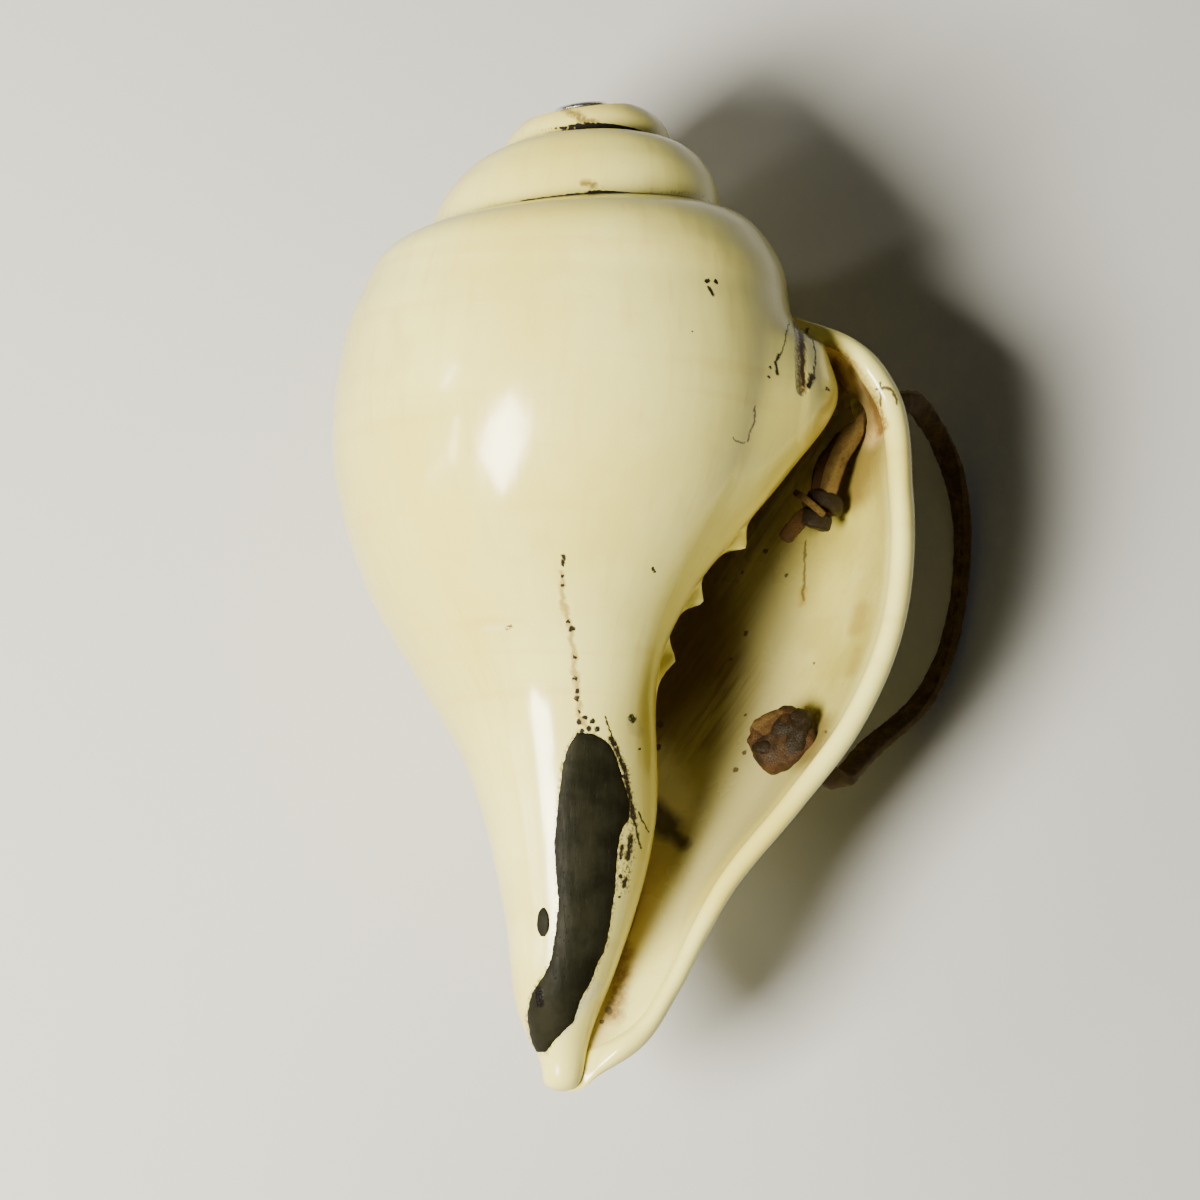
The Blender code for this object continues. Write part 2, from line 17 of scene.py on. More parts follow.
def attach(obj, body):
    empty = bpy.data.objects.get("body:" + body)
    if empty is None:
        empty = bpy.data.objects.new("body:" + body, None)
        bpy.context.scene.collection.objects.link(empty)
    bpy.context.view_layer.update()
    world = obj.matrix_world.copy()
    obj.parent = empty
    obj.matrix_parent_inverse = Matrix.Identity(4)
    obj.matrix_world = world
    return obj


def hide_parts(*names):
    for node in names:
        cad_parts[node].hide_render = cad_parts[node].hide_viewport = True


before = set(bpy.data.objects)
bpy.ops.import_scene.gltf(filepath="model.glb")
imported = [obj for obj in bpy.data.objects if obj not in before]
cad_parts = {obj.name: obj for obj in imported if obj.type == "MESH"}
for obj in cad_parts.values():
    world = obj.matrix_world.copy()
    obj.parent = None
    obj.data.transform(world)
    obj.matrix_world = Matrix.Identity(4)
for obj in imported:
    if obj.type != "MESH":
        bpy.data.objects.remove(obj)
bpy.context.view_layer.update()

MM = 0.001
TURN = 2.0 * math.pi

# how the shell lies: turned by these angles, with this point of its back on the floor
ROLL, TIP = math.radians(-3.0), math.radians(-1.0)
DOWN = Vector((math.sin(ROLL) * math.cos(TIP), math.sin(TIP), -math.cos(ROLL) * math.cos(TIP)))
LAY = np.array(DOWN.rotation_difference(Vector((0.0, 0.0, -1.0))).to_matrix())
FOOT = np.array((-1.2198, -79.1071, -52.3722)) * MM


def lay(points):
    """Shell frame to floor frame: the foot is taken off, then LAY turns what is left."""
    return (np.asarray(points, float) - FOOT) @ LAY.T


def put(name, data):
    """A new object with this data, linked to the scene."""
    made = bpy.data.objects.new(name, data)
    bpy.context.scene.collection.objects.link(made)
    return made


# camera, at the photograph's viewing angle

CAMERA_AWAY = 0.8
CAMERA_TIP, CAMERA_ROLL = math.radians(7.8), math.radians(2.24)


def place_camera():
    """800 mm from the middle of the shell, tipped 7.8 degrees, rolled 2.24 degrees."""
    ahead = np.array((0.0, math.sin(CAMERA_TIP), -math.cos(CAMERA_TIP)))
    right = np.array((1.0, 0.0, 0.0))
    up = np.array((0.0, math.cos(CAMERA_TIP), math.sin(CAMERA_TIP)))
    side = right * math.cos(CAMERA_ROLL) + up * math.sin(CAMERA_ROLL)
    top = up * math.cos(CAMERA_ROLL) - right * math.sin(CAMERA_ROLL)
    eye = np.array((0.0, -0.102, 0.0)) - CAMERA_AWAY * ahead + 3.4 * MM * side + 1.57 * MM * top
    turn = Matrix(LAY.tolist()) @ Matrix(np.stack([side, top, -ahead], axis=1).tolist())
    data = bpy.data.cameras.new("camera")
    data.lens, data.sensor_width, data.clip_end = 131.3, 36.0, 20.0
    camera = put("camera", data)
    camera.matrix_world = Matrix.Translation(lay(eye)) @ turn.to_4x4()
    bpy.context.scene.camera = camera


place_camera()


# mesh helpers

def grid_faces(rows, columns, start=0, wrap=False):
    """Quads of a grid: point (i, j) joins (i, j+1), (i+1, j+1) and (i+1, j).  With
    wrap the last column joins the first."""
    i, j = np.meshgrid(np.arange(rows - 1), np.arange(columns if wrap else columns - 1),
                       indexing="ij")
    n = (j + 1) % columns
    quads = np.stack([i * columns + j, i * columns + n, (i + 1) * columns + n,
                      (i + 1) * columns + j], axis=-1)
    return quads.reshape(-1, 4) + start


def closed_tube(rings, start=0):
    """A tube through rings of points (n, k, 3), with a flat many-sided cap at each end."""
    n, k = rings.shape[:2]
    faces = grid_faces(n, k, start, wrap=True).tolist()
    faces.append(list(range(start + k - 1, start - 1, -1)))
    faces.append([start + (n - 1) * k + m for m in range(k)])
    return rings.reshape(-1, 3), faces


def joined(parts):
    """Several (points, faces) shapes as one list of points and one of faces."""
    points, faces, start = [], [], 0
    for own, some in parts:
        points.append(own)
        faces += [[c + start for c in face] for face in some]
        start += len(own)
    return np.concatenate(points), faces


def cleaned(mesh, merge, whole=True):
    """Merges doubles and turns the normals outwards.  Where the mesh is one whole closed
    shape, collapsed faces go too, and a shape turned inside out is turned back."""
    bm = bmesh.new()
    bm.from_mesh(mesh)
    bmesh.ops.remove_doubles(bm, verts=bm.verts, dist=merge)
    if whole:
        bmesh.ops.dissolve_degenerate(bm, edges=bm.edges, dist=merge)
    bmesh.ops.recalc_face_normals(bm, faces=bm.faces)
    if whole and bm.calc_volume(signed=True) < 0.0:
        bmesh.ops.reverse_faces(bm, faces=bm.faces)
    bm.to_mesh(mesh)
    bm.free()
    mesh.shade_smooth()
    return mesh


def make_mesh(name, points, faces, merge=2e-6):
    """One whole closed shape as a mesh."""
    mesh = bpy.data.meshes.new(name)
    mesh.from_pydata(np.asarray(points).tolist(), [], [list(f) for f in faces])
    return cleaned(mesh, merge)


def add_piece(name, mesh, finishes, slot, *stands_for):
    """Puts a mesh in the scene as a piece that rides on the one body."""
    piece = put(name, mesh)
    for finish in finishes:
        mesh.materials.append(finish)
    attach(piece, "root")
    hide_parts(*stands_for)
    return piece


def catmull(a, b, c, d, f):
    """Catmull-Rom curve from b to c at share f, with a before and d after them: half of
    (2b + (c-a)f + (2a-5b+4c-d)ff + (3b-a-3c+d)fff)."""
    return 0.5 * (2 * b + (c - a) * f + (2 * a - 5 * b + 4 * c - d) * f ** 2
                  + (3 * b - a - 3 * c + d) * f ** 3)


def padded(points, axis=-2):
    """The points with one more before the first and after the last, a straight step on."""
    first, second, last, before = (np.take(points, [k], axis) for k in (0, 1, -1, -2))
    return np.concatenate([2 * first - second, points, 2 * last - before], axis)


def run_of(places):
    """Length of the line up to each of its places."""
    return np.concatenate([[0.0], np.cumsum(np.linalg.norm(np.diff(places, axis=0), axis=1))])


def spline3(points, count):
    """Catmull-Rom curve through points, read at count places an equal length apart; the
    first three numbers of a point are its place."""
    pts = np.asarray(points, float)
    pad = padded(pts)
    f = np.linspace(0.0, 1.0, 40, endpoint=False)[None, :, None]
    fine = catmull(*(pad[k:k + len(pts) - 1, None, :] for k in range(4)), f)
    fine = np.concatenate([fine.reshape(-1, pts.shape[1]), pts[-1:]])
    run = run_of(fine[:, :3])
    where = np.linspace(0.0, run[-1], count)
    return np.stack([np.interp(where, run, fine[:, k]) for k in range(pts.shape[1])], axis=1)


def circle(count):
    """That many angles, evenly round a full turn."""
    return np.linspace(0.0, TURN, count, endpoint=False)


def smooth(x):
    """0 up to 0, 1 from 1 on, and xx(3 - 2x) between them."""
    x = np.clip(x, 0.0, 1.0)
    return x * x * (3.0 - 2.0 * x)


def ripple(p, size, seed=0.0):
    """A smooth uneven number between -1 and 1: the mean of five slanted sine waves of
    about this wavelength, read at points (..., 3)."""
    total = 0.0
    for k in range(5):
        a, b = 1.7 * k + seed, 2.3 * k + 1.9 * seed
        way = np.array((math.cos(a), math.sin(a) * math.cos(b), math.sin(a) * math.sin(b)))
        total = total + np.sin(p @ way * TURN / (size * (0.7 + 0.17 * k)) + 3.1 * k + seed)
    return total / 5.0


# leather thong: a flat lace, threaded through both holes and knotted inside

LACE_WIDTH, LACE_THICK = 4.2 * MM, 2.5 * MM
# centre line in mm, knot to knot, then the way the lace's width points at that place
THONG_ROUTE = [
    (45.0, -76.6, -17.6, 0.35, 0.05, 0.93), (45.9, -72.6, -15.6, 0.4, 0.1, 0.9),
    (47.3, -68.6, -13.4, 0.55, 0.3, 0.75), (49.3, -65.0, -11.9, 0.7, 0.55, 0.35),
    (52.2, -61.9, -11.9, 0.5, 0.85, 0.0), (55.6, -59.8, -13.6, 0.2, 0.95, -0.15),
    (58.6, -58.4, -16.4, 0.2, 0.95, 0.0),
    (61.0, -57.2, -21.5, 0.5, 0.8, 0.1), (62.6, -56.2, -31.0, 0.75, 0.65, 0.1),
    (66.0, -57.6, -42.0, 0.75, 0.6, 0.3), (70.4, -63.2, -49.5, 0.65, 0.35, 0.65),
    (73.0, -71.0, -52.6, 0.45, 0.1, 0.88), (73.8, -80.0, -53.4, 0.3, 0.0, 0.95),
    (73.4, -89.0, -53.6, 0.3, 0.0, 0.95), (72.2, -97.0, -53.6, 0.4, -0.1, 0.92),
    (69.8, -104.5, -53.0, 0.5, -0.3, 0.85), (66.0, -111.5, -50.2, 0.55, -0.45, 0.7),
    (61.0, -116.6, -46.0, 0.55, -0.5, 0.65), (55.4, -122.0, -40.0, 0.6, -0.5, 0.6),
    (51.6, -127.0, -33.0, 0.8, -0.3, 0.4), (49.4, -129.6, -26.6, 0.8, 0.3, 0.1),
    (45.6, -127.1, -21.1, 0.5, 0.8, 0.0), (41.5, -124.0, -18.1, 0.5, 0.8, 0.0),
    (38.6, -121.8, -15.9, 0.5, 0.8, 0.0)]
UPPER_KNOT = np.array((44.0, -77.6, -18.4)) * MM
LOWER_KNOT = np.array((37.6, -122.8, -11.0)) * MM


def power(v, e):
    """v to the power e with v's sign kept."""
    return np.sign(v) * np.abs(v) ** e


def lace(line, width, thick, sides=28, rough=0.05, round_ends=0.5, seed=0.0):
    """A flat lace along line (n, 6): a place and the way its width points.  Its section
    is a squared oval, across = width/2 * |cos|^0.45 and up = thick/2 * |sin|^0.45 with
    their signs, a little uneven, and drawn in at both ends like a quarter circle."""
    place, wide = line[:, :3], line[:, 3:]
    along = np.gradient(place, axis=0)
    along /= np.linalg.norm(along, axis=1, keepdims=True)
    wide = wide - (wide * along).sum(1, keepdims=True) * along
    wide /= np.linalg.norm(wide, axis=1, keepdims=True)
    flat = np.cross(along, wide)
    run = run_of(place)
    near = np.minimum(run, run[-1] - run) / max(1e-6, round_ends * thick)
    draw = np.sqrt(1.0 - (1.0 - np.clip(near, 0.0, 1.0)) ** 2) * 0.55 + 0.45
    phi = circle(sides)
    across, up = power(np.cos(phi), 0.45), power(np.sin(phi), 0.45)
    rings = (place[:, None] + wide[:, None] * (width / 2 * across)[None, :, None]
             * draw[:, None, None]
             + flat[:, None] * (thick / 2 * up)[None, :, None] * draw[:, None, None])
    out = rings - place[:, None]
    wave = 1.0 + rough * (ripple(rings, 3.1 * MM, seed) + ripple(rings, 9.0 * MM, seed + 2)
                          + 0.8 * ripple(rings, 1.2 * MM, seed + 5))
    return place[:, None] + out * wave[..., None]


def line_mm(rows, count, ease=0):
    """A lace's centre line from rows in mm, laid on the floor.  With ease each point
    moves halfway to the mean of its neighbours that many times, the ends held."""
    fine = spline3(np.asarray(rows, float) * np.array([MM] * 3 + [1.0] * 3), count)
    for _ in range(ease):
        fine[1:-1] += 0.5 * ((fine[:-2] + fine[2:]) / 2 - fine[1:-1])
    return np.concatenate([lay(fine[:, :3]), fine[:, 3:] @ LAY.T], axis=1)


def leather_mesh(name, parts, tones):
    """A mesh of closed shapes that may run into one another; each point keeps its tone,
    a number, as the attribute 'tone'."""
    points, faces = joined(parts)
    mesh = bpy.data.meshes.new(name)
    mesh.from_pydata(points.tolist(), [], faces)
    layer = mesh.attributes.new("tone", "FLOAT", "POINT")
    layer.data.foreach_set("value", np.concatenate(tones).astype(np.float32))
    return cleaned(mesh, 1e-6, whole=False)


def lace_tones(rings, grain, flesh):
    """Tones of a lace's points: grain on one broad side, flesh on the other side and
    the edges."""
    phi = circle(rings.shape[1])
    return np.tile(np.where(np.sin(phi) > 0.35, grain, flesh), rings.shape[0])


thong_line = line_mm(THONG_ROUTE, 420, ease=90)
thong_rings = lace(thong_line, LACE_WIDTH, LACE_THICK)
thong_mesh = leather_mesh("thong_lace", [closed_tube(thong_rings)],
                          [lace_tones(thong_rings, 0.64, 0.84)])


def knot_of_laces(name, centre, strands, seed):
    """A knot made of short laces.  Each strand is (tone, width, thickness, rows), rows
    of (dx, dy, dz) in mm from the knot's centre and the way the width points."""
    parts, tones = [], []
    for k, (shade, width, thick, rows) in enumerate(strands):
        rows = np.array(rows, float)
        rows[:, :3] += centre / MM
        rings = lace(line_mm(rows, 46), width * MM, thick * MM, rough=0.07, seed=seed + k)
        parts.append(closed_tube(rings))
        tones.append(lace_tones(rings, shade, shade + 0.12))
    return leather_mesh(name, parts, tones)


UPPER_STRANDS = [
    (0.42, 2.6, 1.9, [(4.0, 12.4, 4.4, 1, 0.1, 0), (2.0, 9.6, 2.8, 1, 0.1, 0),
                      (0.3, 7.2, 1.6, 1, 0, 0), (-0.5, 4.4, 0.6, 1, 0, 0),
                      (-0.7, 1.4, -0.6, 1, 0, 0)]),
    (0.10, 3.0, 2.6, [(-1.7, 0.9, -1.4, 0, 1, 0), (-0.4, 0.6, 1.3, 0.1, 1, 0),
                      (1.4, 0.1, 2.1, 0.1, 1, 0), (2.9, -0.7, 0.6, 0.2, 1, 0.1),
                      (2.7, -1.2, -1.6, 0, 1, 0)]),
    (0.08, 3.2, 2.8, [(-3.3, -2.6, -1.2, 0, 1, 0), (-2.0, -3.3, 1.0, 0.2, 1, 0),
                      (-0.2, -3.9, 1.6, 0.2, 1, 0), (1.6, -4.4, 0.2, 0.2, 1, 0)]),
    (0.72, 1.3, 1.6, [(-4.8, 1.7, -0.6, 0.6, 0.8, 0), (-3.2, 0.4, 1.6, 0.6, 0.8, 0),
                      (-1.2, -1.4, 2.9, 0.6, 0.8, 0), (0.6, -3.0, 2.6, 0.6, 0.8, 0)]),
    (0.50, 3.0, 2.0, [(-2.0, -2.0, 0.2, 1, -0.9, 0), (-4.3, -4.3, 0.5, 0.9, -0.9, 0),
                      (-6.6, -7.4, -0.8, 0.8, -0.9, 0.2)]),
    (0.30, 3.8, 3.2, [(-2.6, 1.2, -1.6, 1, 0.4, 0), (0.0, -1.2, -0.9, 1, 0.4, 0),
                      (1.4, -3.2, -1.2, 1, 0.4, 0)]),
]
upper_knot_mesh = knot_of_laces("upper_knot_laces", UPPER_KNOT, UPPER_STRANDS, 3.0)


def folded_lump(name, centre, lobes, towards):
    """A knot pulled into a flat lump of folded leather.  Each lobe is a rounded pad:
    (tone, x, y, z, length, width, thickness, turn in degrees, bow).  With a around
    0..360 degrees and b from pole to pole, a point is length/2*cos(a)^0.75*sin(b)^0.6,
    width/2*sin(a)^0.75*sin(b)^0.6 and thickness/2*cos(b)^0.8, made uneven and bowed by
    bow times the square of its share of the length."""
    z_way = Vector(towards).normalized()
    x_way = Vector((0, 1, 0)).cross(z_way).normalized()
    y_way = z_way.cross(x_way)
    axes = np.stack([x_way, y_way, z_way])
    around, rows = 64, 27
    a = circle(around)[None, :]
    b = np.linspace(0.0, math.pi, rows)[:, None]

    parts, tones = [], []
    for k, (shade, x, y, z, length, width, thick, turn, bow) in enumerate(lobes):
        px = length / 2 * power(np.cos(a), 0.75) * np.sin(b) ** 0.6
        py = width / 2 * power(np.sin(a), 0.75) * np.sin(b) ** 0.6
        pz = thick / 2 * power(np.cos(b), 0.8) * np.ones_like(a)
        p = np.stack([px, py, pz], axis=-1)
        p *= (1.0 + 0.09 * ripple(p, 4.2, k) + 0.06 * ripple(p, 2.1, k + 5))[..., None]
        p[..., 2] += bow * (p[..., 0] / length) ** 2 + 0.22 * ripple(p, 3.0, k + 9)
        c, s = math.cos(math.radians(turn)), math.sin(math.radians(turn))
        spin = np.stack([p[..., 0] * c - p[..., 1] * s + x, p[..., 0] * s + p[..., 1] * c + y,
                         p[..., 2] + z], axis=-1)
        rings = lay(centre + (spin * MM) @ axes)
        parts.append((rings.reshape(-1, 3), grid_faces(rows, around, wrap=True).tolist()))
        tones.append(np.full(rows * around, shade))
    return leather_mesh(name, parts, tones)


LOWER_LOBES = [
    (0.30, 0.4, -0.5, -0.6, 12.4, 11.4, 5.4, 40, -0.8),
    (0.60, -1.6, 2.0, 0.5, 8.6, 4.8, 3.4, 24, -1.2),
    (0.06, 3.4, 0.6, 0.6, 9.4, 4.8, 3.8, 82, -0.8),
    (0.16, 1.0, 1.2, 1.2, 5.6, 4.2, 3.2, 50, -0.4),
    (0.02, -2.2, -2.7, 0.8, 5.6, 2.8, 2.8, -8, -0.5),
    (0.74, 0.5, -4.0, 0.7, 5.8, 1.2, 1.6, 2, -0.5),
    (0.48, -0.8, -5.0, -0.3, 4.8, 2.6, 2.4, -4, -0.6),
    (0.42, -3.6, 0.2, 0.3, 4.6, 3.4, 3.0, 70, -0.4),
]
lower_knot_mesh = folded_lump("lower_knot_lump", LOWER_KNOT, LOWER_LOBES, (-0.30, 0.20, 0.93))


# the shell's surface: sizes in mm, the same as the CAD's

WHORL_RATIO = 1.66
SHELL_LENGTH = 189.8 * MM
TIP_BLUNT = 13.0 * MM
WALL_TOP, WALL_TIP = 5.4 * MM, 2.9 * MM
LUMEN_END = -450.0
# profile parameters: the suture's, those of the three folds, and the canal's tip
SEAM = 3.5
FOLDS = (7.12, 8.05, 8.87)
FOLD_HEIGHT = 2.9 * MM
LAST = 12.0
# profile parameters of the inner lip's foot at the lip and deep inside, and of the
# stretch between the shoulder and the last fold, which the folds keep in place
LIP_FOOT, DEEP_FOOT = 11.75, 10.6
FOLDS_FROM, FOLDS_TO = 6.0, 9.1
# departures of the spire from the spiral: wider, aside from the lip, front raised
SPIRE_WIDER, SPIRE_ASIDE, SPIRE_LEAN = 0.08, -0.75 * MM, 0.20
# between these depths in mm they fade out
WIDER_FADES, LEAN_FADES = (33.0, 47.0), (12.0, 38.0)
SPIRE_WHORLS = 3.15
# the sawn mouth: middle of its face, its lean to the left and to the front, radii in mm
MOUTH = np.array((-3.4, -10.4, 0.0))
MOUTH_WAY = np.array(Matrix.Rotation(math.radians(10.0), 3, "Z")
                     @ Matrix.Rotation(math.radians(5.0), 3, "X"))
BORE_RADIUS, PITCH_RADIUS, RING_RADIUS = 3.4, 5.9, 5.1
DRILL_RADIUS = 3.1 * MM
DRILLS = [("upper_drill", (46.6, -63.1, -10.4), (58.6, -58.2, -15.0)),
          ("lower_drill", (35.4, -119.3, -13.6), (47.6, -128.6, -22.6))]
SHOULDER = [(49.7, 46.8), (56.5, 53.6), (67.0, 58.3), (86.5, 60.6), (105.0, 58.7)]
BASE = [
    [(122.4, 51.7), (137.5, 41.1), (150.5, 31.0), (160.5, 25.4), (171.4, 20.3), (182.0, 13.4)],
    [(110.5, 46.0), (125.5, 36.5), (139.0, 27.0), (151.0, 20.5), (165.0, 15.5), (179.0, 10.4)],
    [(98.5, 39.4), (112.5, 30.4), (126.0, 21.6), (140.4, 16.1), (158.4, 11.6), (176.4, 8.4)],
    [(87.0, 35.4), (100.5, 27.1), (114.0, 19.8), (130.0, 16.3), (152.0, 13.0), (173.0, 9.2)],
    [(76.4, 31.2), (87.3, 24.7), (98.0, 18.5), (113.0, 14.0), (141.0, 14.5), (165.4, 9.4)]]
INNER_LIP = [(51.5, 43.0), (62.5, 45.3), (75.5, 36.9), (86.5, 28.4), (98.0, 20.0),
             (113.0, 14.3), (141.0, 15.0), (165.4, 9.4), (189.8, 0.0)]
# mesh rows in one whorl and across a lip's rim
ROWS, RING = 160, 16


def growth(t):
    """Size at t as a share of the size at the lip: the ratio to the power t/turn."""
    return WHORL_RATIO ** (np.asarray(t, float) / TURN)


def spline(points, s):
    """Catmull-Rom curve through points (..., K, 2) at parameter s."""
    s = np.asarray(s, float)
    if points.ndim == 2:
        points = np.broadcast_to(points, s.shape + points.shape)
    s = np.clip(s, 0.0, points.shape[-2] - 1 - 1e-9)
    i = np.floor(s).astype(int)
    ends = padded(points)

    def at(k):
        index = np.broadcast_to((i + k)[..., None, None], i.shape + (1, 2))
        return np.take_along_axis(ends, index, axis=-2)[..., 0, :]

    return catmull(at(0), at(1), at(2), at(3), (s - i)[..., None])


TOP = np.array([(0.0, 0.0)] + SHOULDER) * MM
TOP[0] = spline(TOP, np.array([SEAM]))[0] / WHORL_RATIO
TIP_POINT = np.array([[SHELL_LENGTH, 0.0]])
LOWER = np.array([np.concatenate([np.array(rows) * MM, TIP_POINT]) for rows in BASE])
INNER = np.array(INNER_LIP) * MM
OLDER = np.concatenate([TOP / WHORL_RATIO, LOWER[4]])


def lower_points(t):
    """Base and canal points at t, a Catmull-Rom reading between five azimuths."""
    x = np.clip(-np.asarray(t) / (TURN / 4), 0.0, 4.0 - 1e-9)
    i = np.floor(x).astype(int)
    ends = padded(LOWER, 0)
    return catmull(ends[i], ends[i + 1], ends[i + 2], ends[i + 3], (x - i)[..., None, None])


def shoulder_trim(t, s):
    """Share that the radius is scaled by: on a half-sine hump from one suture to the
    next, 5.5% less near -360 degrees, the posterior corner, and 3% more near 0, the lip,
    both as bell curves of the angle."""
    turn = np.degrees(t)
    hump = np.sin(np.clip(s / SEAM, 0.0, 1.0) * math.pi)
    return (1.0 - 0.055 * hump * np.exp(-((turn + 360.0) / 55.0) ** 2)
            + 0.03 * hump * np.exp(-(turn / 40.0) ** 2))


def profile(t, s, callus=True):
    """Last whorl's outside, (axial, radius): a spline through the shoulder scaled by
    growth(t) and the base at t, swollen to INNER within 38 degrees of the inner lip.
    Over the last step f of s the tip is made blunt by 13 mm * f^5 * sqrt(1 - f)."""
    t, s = np.broadcast_arrays(np.asarray(t, float), np.asarray(s, float))
    shape = t.shape
    t, s = t.ravel(), s.ravel()
    points = np.concatenate([TOP * growth(t)[:, None, None], lower_points(t)], axis=1)
    out = spline(points, s)
    out[:, 1] *= shoulder_trim(t, s)
    last = np.clip(s - (LAST - 1.0), 0.0, 1.0)
    out[:, 1] += TIP_BLUNT * last ** 5 * np.sqrt(1.0 - last)
    if callus:
        near = (1.0 - smooth((np.degrees(t) + 360.0) / 38.0)) * smooth((s - SEAM) / 0.5)
        swell = spline(INNER, np.maximum(s - 4.0, 0.0)) - spline(OLDER, s)
        out += near[:, None] * swell
    return out.reshape(shape + (2,))


def spire(t, s):
    """Earlier whorls' outside: the shoulder spline scaled by growth(t)."""
    out = spline(TOP, s) * growth(t)[..., None]
    out[..., 1] *= shoulder_trim(t, s)
    return out


def to_space(t, plane):
    """(axial, radius) at t to the shell frame: (r cos t, -axial, r sin t).  Towards the
    point the radius grows by a share, x moves aside, and y rises by lean * z."""
    t = np.asarray(t, float)
    depth, radius = plane[..., 0], plane[..., 1]
    share, lean = (1.0 - smooth((depth - low * MM) / ((high - low) * MM))
                   for low, high in (WIDER_FADES, LEAN_FADES))
    lean = SPIRE_LEAN * lean
    radius = radius * (1.0 + SPIRE_WIDER * share)
    front = radius * np.sin(t)
    return np.stack([radius * np.cos(t) + SPIRE_ASIDE * share, lean * front - depth, front],
                    axis=-1)


def fold_bumps(s):
    """Three pointed bells exp(-|x|^1.5), the folds on the columella."""
    return sum(np.exp(-np.abs((s - c) / 0.17) ** 1.5) for c in FOLDS)


def columella_parameter(s, foot):
    """Profile parameter (SEAM..12) to the inner lip's, with the folds kept in place."""
    low = 4.0 + (s - SEAM) * 2.0 / (FOLDS_FROM - SEAM)
    high = FOLDS_TO + (s - FOLDS_TO) * (foot - FOLDS_TO) / (LAST - FOLDS_TO)
    return np.where(s < FOLDS_FROM, low, np.where(s < FOLDS_TO, s, high))


def hollow_loop(t, s, seam):
    """One closed section of the hollow at t: the outer wall's inside, which is the
    profile moved inwards by the wall, then back up the columella with its folds."""
    size = float(growth(t))
    deep = float(smooth(-t / math.radians(50.0)))
    # the outer wall ends at 11.6 at the lip, and at 8.05 deep inside
    end = 8.05 + 3.55 * math.exp(math.degrees(t) / 32.0)
    across = 0.55 + (end - 0.55) * s / LAST

    def curve(x):
        if t >= -TURN:
            return profile(np.full(x.shape, t), x, callus=False)
        return spline(OLDER, x) * growth(t + TURN)

    step = 1e-3
    d = curve(np.minimum(across + step, LAST)) - curve(np.maximum(across - step, 0.0))
    d /= np.linalg.norm(d, axis=-1, keepdims=True)
    wall = (WALL_TOP + (WALL_TIP - WALL_TOP) * across / LAST) * min(1.0, float(growth(t + 1.0)))
    outer = curve(across) + np.stack([d[..., 1], -d[..., 0]], axis=-1) * wall[:, None]
    foot = LIP_FOOT + (DEEP_FOOT - LIP_FOOT) * deep
    back = columella_parameter(s[::-1][:len(s) - seam], foot)
    along = spline(INNER, np.minimum(back - 4 + step, 8)) - spline(INNER, back - 4 - step)
    along /= np.linalg.norm(along, axis=1, keepdims=True)
    out = np.stack([-along[:, 1], along[:, 0]], axis=1)
    inner = (spline(INNER, back - 4) + out * (FOLD_HEIGHT * fold_bumps(back))[:, None]) * size
    pinch = outer[-1] + np.array([-1.5, -3.2]) * MM * size
    rise = smooth((back - FOLDS_TO) / (foot - FOLDS_TO)) * deep
    inner += rise[:, None] * (pinch - inner[0])
    # the wall's last 14% and first 12% are led to the columella's ends
    v = s / LAST
    outer += smooth((v - 0.86) / 0.14)[:, None] * (inner[0] - outer[-1])
    outer += (1.0 - smooth(v / 0.12))[:, None] * (inner[-1] - outer[0])
    return np.concatenate([outer, inner[1:]])


def columns():
    """Profile parameters of the mesh's columns, close together over the folds."""
    return np.unique(np.concatenate([
        np.linspace(0.0, SEAM, 34), np.linspace(SEAM, 6.7, 30), np.linspace(6.7, 9.3, 44),
        np.linspace(9.3, LAST - 0.7, 22), LAST - 0.6 * np.linspace(0.0, 1.0, 16) ** 2]).round(6))


